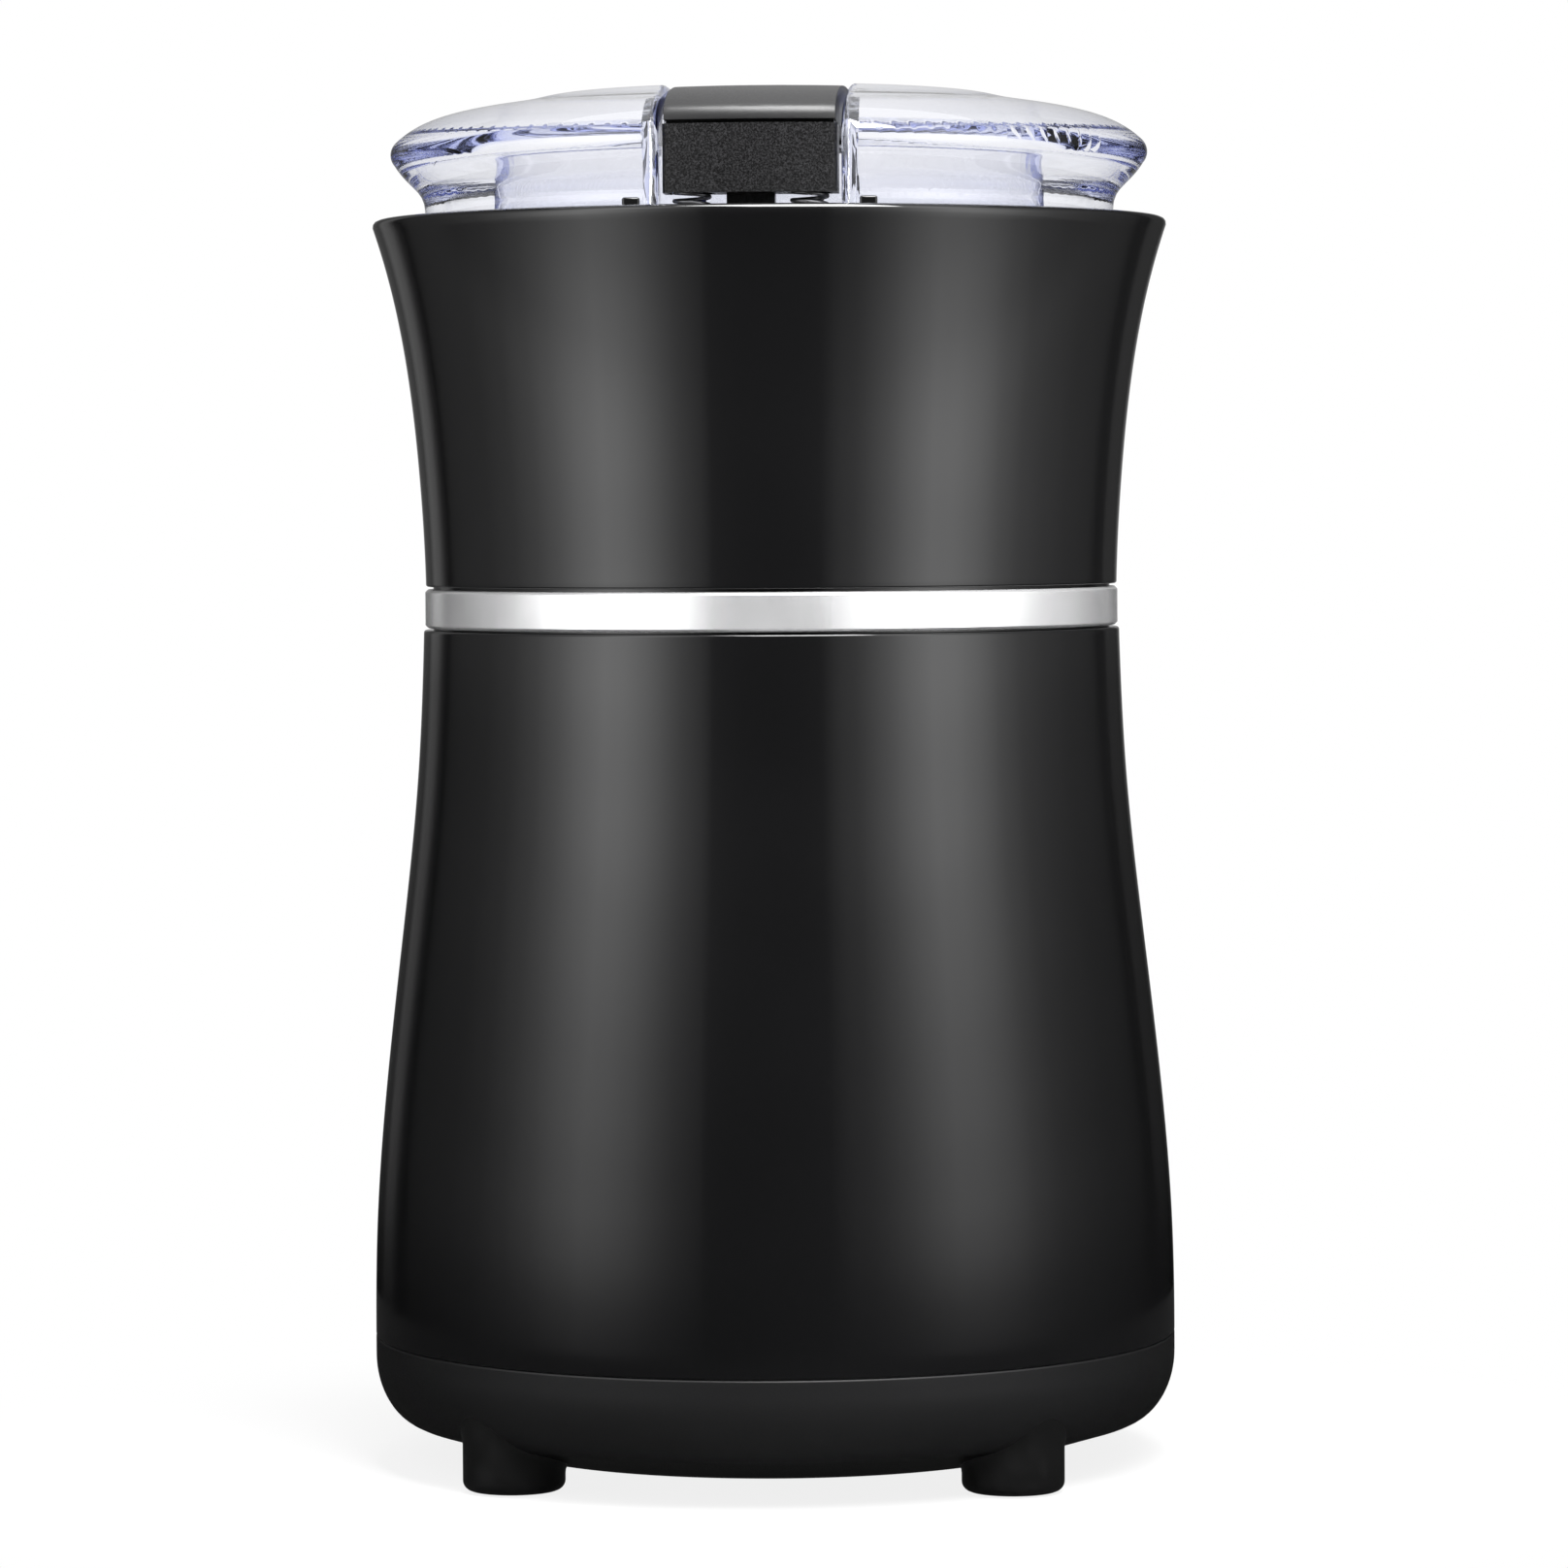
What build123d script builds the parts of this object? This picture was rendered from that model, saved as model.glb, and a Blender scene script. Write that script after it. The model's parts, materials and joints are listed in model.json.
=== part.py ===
from build123d import *
import os
from math import cos, radians, sin, tan

# Electric spice grinder, free-standing, with a clear lid and one press key.
# Millimetres. Z is up, the origin is the middle of the foot plane, the key faces -Y.

# ---- driving dimensions -------------------------------------------------
# casing
WIDEST_R = 50.15
SEAM_Z = 15.9
LOWER_TOP_Z = 104.1
WAIST_R = 43.5
RING_BOTTOM_Z = 104.35
RING_TOP_Z = 109.15
RING_R = 43.3
RING_STEP_R = 42.3
UPPER_BOTTOM_Z = 109.5
UPPER_BOTTOM_R = 43.2
FLARE_R = 49.5
FLARE_Z = 154.1
RIM_Z = 155.0
RIM_INNER_R = 47.0
LEDGE_Z = 152.4
LEDGE_THICK = 2.5
LOWER_WALL = 2.6
UPPER_WALL = 2.3
SPIGOT_R = 40.7
SPIGOT_INNER_R = 39.2
SPIGOT_TOP_Z = 112.6
GAP = 0.1

# base
PAN_WALL = 2.5
PAN_BOTTOM_Z = 1.95
FOOT_R = 6.25
FOOT_CIRCLE_R = 42.9
PEG_R = 2.0
BASE_SCREW_CIRCLE_R = 38.0
BASE_SCREW_ANGLES = (20, 160, 200, 340)
GLAND_Z = 30.0
CORD_R = 3.3
TERMINAL_X = (-20.0, -13.0)
TERMINAL_Y = 28.0
TERMINAL_Z = (7.0, 15.0)
TERMINAL_HOLE_Z = 10.0

# lid
LID_FOOT_R = 42.6
LID_FOOT_Z = 152.55
LID_NECK_R = 43.0
LID_NECK_Z = 156.7
LID_LIP_R = 47.2
LID_LIP_Z = 163.2
LID_TOP_Z = 170.8
LID_TOP_WALL = 2.3
SKIRT_R = 34.3
SKIRT_INNER_R = 32.2
SKIRT_BOTTOM_Z = 146.5

# press key and its channel in the lid
KEY_HALF_W = 10.4
KEY_FRONT_Y = -45.0
KEY_BACK_Y = -38.2
KEY_BOTTOM_Z = 156.5
KEY_BLOCK_TOP_Z = 164.7
CAP_BOTTOM_Z = 165.1
TONGUE_HALF_W = 9.3
TONGUE_FRONT_Y = -42.9
TONGUE_BOTTOM_Z = 165.2
TONGUE_TOP_Z = 166.4
CHANNEL_HALF_W = 10.9
CHANNEL_WALL = 1.7
CHANNEL_RIM_R = 1.0
CHANNEL_FLOOR_Z = 162.3
CHANNEL_REAR_Y = 11.6
POCKET_REAR_Y = -37.2
SHELF_BOTTOM_Z = 153.3
SHELF_TOP_Z = 154.3
HINGE_Y = 8.0
HINGE_Z = 166.0
HINGE_PIN_R = 1.0
KEY_SPRING_X = 7.0
KEY_SPRING_Y = -41.3
KEY_SPRING_TOP_Z = 161.0
KEY_SPRING_R = 2.3
KEY_WIRE_R = 0.3
SPRING_WELL_R = 2.8
SPRING_STUD_R = 1.7
LEG_Y = -40.4

# push rod and switch
ROD_TOP_Z = 154.6
ROD_TIP_Z = 141.4
ROD_R = 1.5
ROD_HEAD_R = 2.5
ROD_BORE_R = 2.85
BOSS_BOTTOM_Z = 143.2
BOSS_FLOOR_Z = 144.4
LEVER_PIVOT_X = -8.8
LEVER_PIVOT_Z = 138.7
LEVER_SLOPE = 14.0
SWITCH_X = (-9.6, 3.2)
SWITCH_Y = (-41.1, -35.3)
SWITCH_Z = (131.5, 138.0)
SWITCH_HOLE_Z = 133.2
SWITCH_HOLES_X = (-6.45, 0.05)
PLUNGER_X = -4.5
SWITCH_TERMINALS_X = (-7.5, 1.5)
SWITCH_TERMINAL_Y = -38.2
SWITCH_TERMINAL_Z = 128.6

# bowl
BOWL_MOUTH_R = 34.8
BOWL_FLANGE_R = 37.3
BOWL_COLLAR_Z = 144.0
BOWL_WALL = 0.7
BOWL_FLOOR_Z = 110.2
BOWL_HUB_Z = 112.4
BOWL_CORNER_R = 12.0
BOWL_SIDE_R = 32.6
BOWL_HOLE_R = 4.2

# motor
SHAFT_R = 3.0
SHAFT_BOTTOM_Z = 14.6
SHAFT_TOP_Z = 122.0
BEARING_PLAY = 0.03
CORE_Z = (44.0, 70.0)
CORE_HALF_X = 30.0
CORE_HALF_Y = 25.0
BORE_R = 15.7
ARMATURE_R = 15.0
SLOTS = 12
BOLT_X = 24.0
BOLT_Y = 19.0
BOLT_R = 1.5
LOWER_PLATE_Z = (19.0, 21.5)
UPPER_PLATE_Z = (92.5, 95.0)
BRUSH_Z = 29.5
HOLDER_END_X = 27.0
COIL_FACE_Y = 17.2
COIL_LEAD_Z = 41.0
COMMUTATOR_R = 8.5
FAN_R = 25.0
FAN_BLADES = 9
FLANGE_Z = (100.4, 103.0)
FLANGE_INNER_R = 32.0
DAMPER_CIRCLE_R = 35.5
DAMPER_ANGLES = (0, 120, 240)
HOUSING_SCREW_CIRCLE_R = 36.3
HOUSING_SCREW_ANGLES = (60, 180, 300)
BLADE_R = 29.0
BLADE_Z = 116.0
BLADE_THICK = 1.4
LEAD_R = 0.9

UPWARD = (Align.CENTER, Align.CENTER, Align.MIN)


# ---- small helpers ------------------------------------------------------
def rod(radius, bottom, top, x=0, y=0):
    """Upright cylinder between two heights."""
    return Pos(x, y, bottom) * Cylinder(radius, top - bottom, align=UPWARD)


def tube(outer_r, inner_r, bottom, top, x=0, y=0):
    """Upright tube between two heights."""
    return rod(outer_r, bottom, top, x, y) - rod(inner_r, bottom, top, x, y)


def block(x_span, y_span, z_span):
    """Box given by its two ends along each axis."""
    size = [span[1] - span[0] for span in (x_span, y_span, z_span)]
    middle = [(span[0] + span[1]) / 2 for span in (x_span, y_span, z_span)]
    return Pos(*middle) * Box(*size)


def rod_along_x(radius, start, end, y, z):
    """Cylinder lying along X."""
    return Pos(start, y, z) * Rot(0, 90, 0) * Cylinder(radius, end - start, align=UPWARD)


def rod_along_y(radius, start, end, x, z):
    """Cylinder lying along Y."""
    return Pos(x, start, z) * Rot(-90, 0, 0) * Cylinder(radius, end - start, align=UPWARD)


def on_circle(radius, angle):
    """Point at a radius and an angle in degrees, counted from +X."""
    return radius * cos(radians(angle)), radius * sin(radians(angle))


def spun(*edges):
    """Solid of revolution about Z from edges drawn as (radius, height)."""
    return revolve(Plane.XZ * make_face(Curve() + list(edges)), Axis.Z)


def coil_spring(mean_r, wire_r, bottom, top, turns):
    """Open helical spring standing on a height, centred on the Z axis."""
    height = top - bottom - 2 * wire_r
    path = Helix(pitch=height / turns, height=height, radius=mean_r)
    section = Plane(origin=path @ 0, z_dir=path % 0) * Circle(wire_r)
    return Pos(0, 0, bottom + wire_r) * sweep(section, path=path, is_frenet=True)


def lead(*points):
    """Insulated wire along straight runs joined by the largest arcs they allow."""
    corners = [Vector(*point) for point in points]
    radii = []
    for before, corner, after in zip(corners, corners[1:], corners[2:]):
        run_in, run_out = corner - before, after - corner
        half_turn = radians(run_in.get_angle(run_out) / 2)
        radii.append(0.45 * min(run_in.length, run_out.length) / tan(half_turn))
    path = FilletPolyline(*corners, radius=radii)
    section = Plane(origin=path @ 0, z_dir=path % 0) * Circle(LEAD_R)
    return sweep(section, path=path)


# ---- outlines -----------------------------------------------------------
def pan_solid(inset=0):
    """Full shape of the base pan, or the same shape drawn in by a wall."""
    centre = (0, PAN_BOTTOM_Z + inset)
    flat_end = (35 - inset, PAN_BOTTOM_Z + inset)
    corner_start = (46 - inset, 5.3 + inset)
    corner_middle = (48.9 - inset, 8.2 + inset)
    corner_end = (WIDEST_R - inset, 13.5 + inset)
    top = (WIDEST_R - inset, SEAM_Z + inset)
    return spun(
        Line(centre, flat_end),
        Line(flat_end, corner_start),
        Spline(corner_start, corner_middle, corner_end, tangents=[(1, 0.4), (0, 1)]),
        Line(corner_end, top),
        Line(top, (0, SEAM_Z + inset)),
        Line((0, SEAM_Z + inset), centre),
    )


def lower_solid(inset=0):
    """Bell of the lower housing, from the seam to the waist."""
    side = [(WIDEST_R, SEAM_Z), (49.85, 30.6), (48.4, 48.8), (46.3, 67.1), (44.4, 85.3)]
    side = [(r - inset, z) for r, z in side + [(WAIST_R, LOWER_TOP_Z - 0.3)]]
    shoulder = (WAIST_R - 0.3 - inset, LOWER_TOP_Z)
    return spun(
        Spline(*side, tangents=[(0, 1), (-0.03, 1)]),
        Line(side[-1], shoulder),
        Line(shoulder, (0, LOWER_TOP_Z)),
        Line((0, LOWER_TOP_Z), (0, SEAM_Z)),
        Line((0, SEAM_Z), side[0]),
    )


def upper_solid(inset=0):
    """Flared upper housing, from the ring to the rim."""
    side = [(UPPER_BOTTOM_R, UPPER_BOTTOM_Z), (43.8, 121.8), (45.0, 133.9), (47.2, 146.1)]
    side = [(r - inset, z) for r, z in side + [(FLARE_R, FLARE_Z)]]
    rim_edge = (FLARE_R - 0.7 - inset, RIM_Z)
    rim_middle = (FLARE_R - 0.05 - inset, RIM_Z - 0.3)
    return spun(
        Spline(*side, tangents=[(0.02, 1), (0.34, 1)]),
        ThreePointArc(side[-1], rim_middle, rim_edge),
        Line(rim_edge, (0, RIM_Z)),
        Line((0, RIM_Z), (0, UPPER_BOTTOM_Z)),
        Line((0, UPPER_BOTTOM_Z), side[0]),
    )


def lid_envelope():
    """Outside of the lid as a full solid."""
    foot = (LID_FOOT_R, LID_FOOT_Z)
    neck = (LID_NECK_R, LID_NECK_Z)
    lip_start = (46.7, 161.9)
    lip_end = (46.7, 164.5)
    apex = (0, LID_TOP_Z)
    return spun(
        Line(foot, neck),
        Spline(neck, (44.8, 159.6), lip_start, tangents=[(0.1, 1), (0.6, 1)]),
        ThreePointArc(lip_start, (LID_LIP_R, LID_LIP_Z), lip_end),
        Spline(lip_end, (42.2, 167.3), (32.9, 169.3), apex, tangents=[(-0.7, 0.7), (-1, 0)]),
        Line(apex, (0, LID_FOOT_Z)),
        Line((0, LID_FOOT_Z), foot),
    )


def lid_hollow():
    """Space under the dome and inside the flared wall."""
    foot = (40.2, LID_FOOT_Z - 1)
    neck = (40.6, LID_NECK_Z)
    lip_start = (44.1, 161.9)
    lip_end = (43.4, 163.6)
    apex = (0, LID_TOP_Z - LID_TOP_WALL)
    return spun(
        Line(foot, neck),
        Spline(neck, (42.3, 159.6), lip_start, tangents=[(0.1, 1), (0.6, 1)]),
        ThreePointArc(lip_start, (44.3, 162.9), lip_end),
        Spline(lip_end, (40.5, 165.1), (32.0, 166.95), apex, tangents=[(-0.8, 0.6), (-1, 0)]),
        Line(apex, (0, LID_FOOT_Z - 1)),
        Line((0, LID_FOOT_Z - 1), foot),
    )


def bowl_solid(inset=0):
    """Cup shape of the grinding bowl with a raised centre in its floor."""
    side_foot = (BOWL_SIDE_R - inset, BOWL_FLOOR_Z - BOWL_WALL + BOWL_CORNER_R)
    corner_mid = (
        BOWL_SIDE_R - BOWL_CORNER_R + (BOWL_CORNER_R - inset) * cos(radians(45)),
        side_foot[1] - (BOWL_CORNER_R - inset) * sin(radians(45)),
    )
    floor_start = (BOWL_SIDE_R - BOWL_CORNER_R, BOWL_FLOOR_Z - BOWL_WALL + inset)
    ramp_foot = (11.0, BOWL_FLOOR_Z - BOWL_WALL + inset)
    ramp_top = (8.5, BOWL_HUB_Z - BOWL_WALL + inset)
    collar_foot = (BOWL_MOUTH_R + BOWL_WALL - inset, BOWL_COLLAR_Z)
    mouth = (BOWL_MOUTH_R + BOWL_WALL - inset, RIM_Z)
    return spun(
        Line((0, RIM_Z), (0, ramp_top[1])),
        Line((0, ramp_top[1]), ramp_top),
        Line(ramp_top, ramp_foot),
        Line(ramp_foot, floor_start),
        ThreePointArc(floor_start, corner_mid, side_foot),
        Line(side_foot, collar_foot),
        Line(collar_foot, mouth),
        Line(mouth, (0, RIM_Z)),
    )


# ---- base ---------------------------------------------------------------
def foot_places():
    """Names and centres of the four feet."""
    places = {}
    for name, angle in (("rear_right", 45), ("rear_left", 135), ("front_left", 225), ("front_right", 315)):
        places[name] = on_circle(FOOT_CIRCLE_R, angle)
    return places


def rubber_foot(x, y):
    """Round foot shaped to the pan above it, with a barbed peg."""
    stub = rod(FOOT_R, 0, 10, x, y)
    stub = fillet(stub.edges().sort_by(Axis.Z)[0], 1.2) - pan_solid()
    stub = stub.solids().sort_by(Axis.Z)[0]
    peg = rod(PEG_R, 3, 10.0, x, y)
    barb = Pos(x, y, 10.6) * Cone(PEG_R + 0.6, PEG_R - 0.4, 1.6)
    return stub + peg + barb


def base_pan():
    """Shallow pan with a lip, screw wells, cooling slots and peg holes."""
    pan = pan_solid() - pan_solid(PAN_WALL)
    pan += tube(WIDEST_R - 1.5, 45.6, 12.2, SEAM_Z) + tube(47.3, 45.6, SEAM_Z - 1, SEAM_Z + 4)
    for angle in BASE_SCREW_ANGLES:
        x, y = on_circle(BASE_SCREW_CIRCLE_R, angle)
        pan += rod(4.6, 4.4, 12.0, x, y)
        pan -= rod(3.2, 0, 9.5, x, y) + rod(1.7, 0, 13, x, y)
    for x, y in foot_places().values():
        pan -= rod(PEG_R + GAP, 0, 10.2, x, y)
    pan += block((-22, -11), (TERMINAL_Y - 3, TERMINAL_Y + 3), (PAN_BOTTOM_Z + 1, TERMINAL_Z[0]))
    for step in range(8):
        pan -= Rot(0, 0, 45 * step) * block((14, 28), (-1.1, 1.1), (0, 8))
    rim = pan.edges().filter_by(GeomType.CIRCLE).filter_by_position(Axis.Z, SEAM_Z - 0.01, SEAM_Z + 0.01)
    return chamfer(rim.sort_by(SortBy.LENGTH)[-1], 0.25)


def base_screws():
    """Screws that hold the pan to the lower housing."""
    screws = []
    for angle in BASE_SCREW_ANGLES:
        x, y = on_circle(BASE_SCREW_CIRCLE_R, angle)
        head = rod(2.9, 7.3, 9.5, x, y) - block((x - 2.2, x + 2.2), (y - 0.4, y + 0.4), (7.2, 8.3))
        head -= block((x - 0.4, x + 0.4), (y - 2.2, y + 2.2), (7.2, 8.3))
        screws.append(head + rod(1.5, 9.5, 25, x, y))
    return Compound(children=screws)


def terminal_block():
    """Two-way terminal block on the pan floor, with its screw heads sunk in."""
    body = block((TERMINAL_X[0] - 3.5, TERMINAL_X[1] + 3.5), (TERMINAL_Y - 3.5, TERMINAL_Y + 4), TERMINAL_Z)
    for x in TERMINAL_X:
        body -= rod(2.0, TERMINAL_HOLE_Z, TERMINAL_Z[1] + 1, x, TERMINAL_Y)
    return chamfer(body.edges().filter_by(Axis.Z), 0.6)


# ---- casing -------------------------------------------------------------
def lower_housing():
    """Bell with the spigot at its top, the motor flange and the screw posts."""
    shell = lower_solid() - lower_solid(LOWER_WALL)
    shell += tube(RING_STEP_R, SPIGOT_INNER_R, FLANGE_Z[0], RING_BOTTOM_Z)
    shell += tube(SPIGOT_R, SPIGOT_INNER_R, RING_BOTTOM_Z - 1, SPIGOT_TOP_Z)
    shell += tube(WAIST_R - 1, FLANGE_INNER_R, *FLANGE_Z)
    for angle in BASE_SCREW_ANGLES:
        x, y = on_circle(BASE_SCREW_CIRCLE_R, angle)
        rib = Rot(0, 0, angle) * block((BASE_SCREW_CIRCLE_R + 2, 47.6), (-1, 1), (SEAM_Z + 5, 32))
        shell += rod(3.6, 12.0, 32, x, y) + rib
        shell -= rod(1.5, 11, 26, x, y)
    for angle in HOUSING_SCREW_ANGLES:
        shell -= rod(1.6, *FLANGE_Z, *on_circle(HOUSING_SCREW_CIRCLE_R, angle))
    for angle in DAMPER_ANGLES:
        shell -= rod(1.5, *FLANGE_Z, *on_circle(DAMPER_CIRCLE_R, angle))
    shell -= block((-9, 9), (-39, -30), (FLANGE_Z[0] - 1, FLANGE_Z[1] + 0.3))
    shell += rod_along_y(9, 44.9, 48.5, 0, GLAND_Z)
    shell -= rod_along_y(7.6, 48.3, 52, 0, GLAND_Z) + rod_along_y(5.2, 44, 52, 0, GLAND_Z)
    return shell


def trim_ring():
    """Polished band at the waist with bevelled edges."""
    band = tube(RING_R, SPIGOT_R + GAP, RING_BOTTOM_Z, RING_TOP_Z)
    rims = band.edges().filter_by(GeomType.CIRCLE).sort_by(SortBy.LENGTH)[-2:]
    return chamfer(rims, 0.35)


def upper_housing():
    """Flared sleeve with the bowl ledge, lid lugs, rod guide and switch posts."""
    cavity = upper_solid(UPPER_WALL) & block((-60, 60), (-60, 60), (100, LEDGE_Z - LEDGE_THICK))
    sleeve = upper_solid() - cavity - rod(RIM_INNER_R, LEDGE_Z, RIM_Z + 1)
    sleeve -= rod(BOWL_MOUTH_R + BOWL_WALL + 0.2, LEDGE_Z - LEDGE_THICK - 1, RIM_Z)
    sleeve += tube(RING_STEP_R, SPIGOT_R + 0.2, RING_TOP_Z, UPPER_BOTTOM_Z + 0.5)
    sleeve += tube(UPPER_BOTTOM_R - 1, 33.8, 113.5, 116)
    for angle in HOUSING_SCREW_ANGLES:
        x, y = on_circle(HOUSING_SCREW_CIRCLE_R, angle)
        sleeve += rod(2.7, FLANGE_Z[1], 114, x, y)
        sleeve -= rod(1.25, FLANGE_Z[1] - 1, 112, x, y)
    sleeve -= block((-9, 9), (-40, -33), (112, 117))
    sleeve += rod(4.0, BOSS_BOTTOM_Z, LEDGE_Z, 0, LEG_Y)
    sleeve -= rod(ROD_BORE_R, BOSS_FLOOR_Z, LEDGE_Z + 1, 0, LEG_Y)
    sleeve -= rod(ROD_R + 0.2, BOSS_BOTTOM_Z - 1, BOSS_FLOOR_Z + 1, 0, LEG_Y)
    for x in SWITCH_HOLES_X:
        sleeve += rod_along_y(2.0, -43.4, SWITCH_Y[0], x, SWITCH_HOLE_Z)
        sleeve -= rod_along_y(0.95, -42.4, SWITCH_Y[0] + 1, x, SWITCH_HOLE_Z)
    for side in (-1, 1):
        edges = sorted((side * 13.05, side * 15.15))
        sleeve += block(edges, (-44.6, -43.4), (LEDGE_Z - 1, RIM_Z + 1))
    return sleeve


def housing_screws():
    """Screws through the lower flange into the upper housing posts."""
    screws = []
    for angle in HOUSING_SCREW_ANGLES:
        x, y = on_circle(HOUSING_SCREW_CIRCLE_R, angle)
        head = rod(2.6, FLANGE_Z[0] - 2, FLANGE_Z[0], x, y)
        screws.append(head + rod(1.25, FLANGE_Z[0] - 0.5, 111.5, x, y))
    return Compound(children=screws)


def cord_gland():
    """Rubber grommet in the rear wall, open for the supply cord."""
    grommet = rod_along_y(7.4, 48.3, 49.9, 0, GLAND_Z) + rod_along_y(5.15, 44.0, 49, 0, GLAND_Z)
    grommet += rod_along_y(6.6, 43.0, 44.7, 0, GLAND_Z)
    return grommet - rod_along_y(CORD_R, 42, 51, 0, GLAND_Z)


# ---- bowl ---------------------------------------------------------------
def grinding_bowl():
    """Pressed steel cup with a flat flange and a shaft hole."""
    cup = bowl_solid() - bowl_solid(BOWL_WALL)
    cup -= rod(BOWL_FLANGE_R + 5, LEDGE_Z + 0.6, RIM_Z + 1)
    cup += tube(BOWL_FLANGE_R, BOWL_MOUTH_R + 0.05, LEDGE_Z, LEDGE_Z + 0.6)
    return cup - rod(BOWL_HOLE_R, BOWL_FLOOR_Z - 3, BOWL_HUB_Z + 1)


def shaft_seal():
    """Rubber lip seal between the bowl and the motor shaft."""
    collar = tube(BOWL_HOLE_R, SHAFT_R + 0.08, 109.7, BOWL_HUB_Z + 0.3)
    return collar + tube(7.2, SHAFT_R + 0.08, 109.7, BOWL_HUB_Z - BOWL_WALL)


# ---- lid ----------------------------------------------------------------
def channel_rims(shell):
    """Edges where the key channel opens to the top and to the front of the lid."""
    rims = []
    for edge in shell.edges():
        span = edge.bounding_box()
        at_front = span.max.Y < KEY_FRONT_Y + 0.5
        at_rear = span.min.Y > CHANNEL_REAR_Y - 0.01
        above_hollow = span.max.Z > LID_TOP_Z - LID_TOP_WALL
        on_wall = abs(abs(edge.center().X) - CHANNEL_HALF_W) < 0.01
        across = at_rear and above_hollow and span.max.Y < CHANNEL_REAR_Y + 0.01 and not on_wall
        if across or (on_wall and (at_front or above_hollow and not at_rear)):
            rims.append(edge)
    return rims


def lid_shell():
    """Clear dome with a flared wall, an inner skirt and the key channel."""
    envelope = lid_envelope()
    outside = CHANNEL_HALF_W + CHANNEL_WALL
    shell = envelope - lid_hollow()
    shell += tube(SKIRT_R, SKIRT_INNER_R, SKIRT_BOTTOM_Z, LID_LIP_Z)
    shell += tube(SKIRT_R, SKIRT_INNER_R, LID_LIP_Z - 1, LID_TOP_Z) & envelope
    rear = CHANNEL_REAR_Y + CHANNEL_WALL
    trough = block((-outside, outside), (-36, rear), (CHANNEL_FLOOR_Z - 2, LID_TOP_Z + 1))
    shell += trough & envelope
    wide = (-outside, outside)
    narrow = (-CHANNEL_HALF_W, CHANNEL_HALF_W)
    above_dome = LID_TOP_Z + 1
    pocket = block(wide, (KEY_FRONT_Y + 0.4, POCKET_REAR_Y + 2), (SHELF_BOTTOM_Z, above_dome))
    dome = lid_envelope() + rod(RIM_INNER_R - 0.3, SHELF_BOTTOM_Z - 2, LID_LIP_Z)
    shell += pocket & dome
    shell -= block(narrow, (-50, CHANNEL_REAR_Y), (CHANNEL_FLOOR_Z, above_dome))
    shell -= block(narrow, (-50, POCKET_REAR_Y), (SHELF_TOP_Z, above_dome))
    shell -= block(wide, (-50, KEY_FRONT_Y + 0.4), (LID_FOOT_Z - 3, above_dome))
    shell -= block(wide, (-50, -35.3), (LID_FOOT_Z - 3, SHELF_BOTTOM_Z)) - rod(SKIRT_R, 140, 160)
    shell -= block((-3.6, 3.6), (LEG_Y - 3, LEG_Y + 3), (SHELF_BOTTOM_Z - 1, SHELF_TOP_Z + 1))
    for side in (-1, 1):
        shell += rod(SPRING_STUD_R, SHELF_TOP_Z - 0.5, SHELF_TOP_Z + 1.4, side * KEY_SPRING_X, KEY_SPRING_Y)
    shell -= rod_along_x(HINGE_PIN_R, -outside + 0.3, outside - 0.3, HINGE_Y, HINGE_Z)
    return fillet(channel_rims(shell), CHANNEL_RIM_R)


def button_pin():
    """Steel pin held in both channel walls."""
    reach = CHANNEL_HALF_W + CHANNEL_WALL - 0.3
    return chamfer(rod_along_x(HINGE_PIN_R, -reach, reach, HINGE_Y, HINGE_Z).edges(), 0.2)


def button_body():
    """Front block of the key, curved like the lid, with its leg, cap seat, tongue and hinge barrel."""
    front = block((-KEY_HALF_W, KEY_HALF_W), (KEY_FRONT_Y, KEY_BACK_Y), (KEY_BOTTOM_Z, KEY_BLOCK_TOP_Z))
    front &= rod(-KEY_FRONT_Y, KEY_BOTTOM_Z, KEY_BLOCK_TOP_Z)
    front = fillet(front.edges().filter_by(Axis.Z).group_by(Axis.Y)[0], 0.8)
    for side in (-1, 1):
        x = side * KEY_SPRING_X
        front -= rod(SPRING_WELL_R, KEY_BOTTOM_Z - 1, KEY_SPRING_TOP_Z, x, KEY_SPRING_Y)
        front += rod(SPRING_STUD_R, 159, KEY_SPRING_TOP_Z + 0.5, x, KEY_SPRING_Y)
    front += block((-2.875, 2.875), (LEG_Y - 1.3, LEG_Y + 1.3), (154.9, KEY_BOTTOM_Z + 1))
    across = (-TONGUE_HALF_W, TONGUE_HALF_W)
    tongue = block(across, (TONGUE_FRONT_Y, KEY_BACK_Y), (KEY_BLOCK_TOP_Z - 0.5, TONGUE_TOP_Z))
    tongue += block(across, (KEY_BACK_Y - 0.5, HINGE_Y), (TONGUE_BOTTOM_Z, TONGUE_TOP_Z))
    barrel = rod_along_x(2.4, *across, HINGE_Y, HINGE_Z)
    seat = (KEY_BLOCK_TOP_Z - 0.1, CAP_BOTTOM_Z)
    front += block((-KEY_HALF_W + 0.4, KEY_HALF_W - 0.4), (TONGUE_FRONT_Y, KEY_BACK_Y), seat)
    return front + tongue + barrel - rod_along_x(HINGE_PIN_R + 0.05, -11, 11, HINGE_Y, HINGE_Z)


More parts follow.
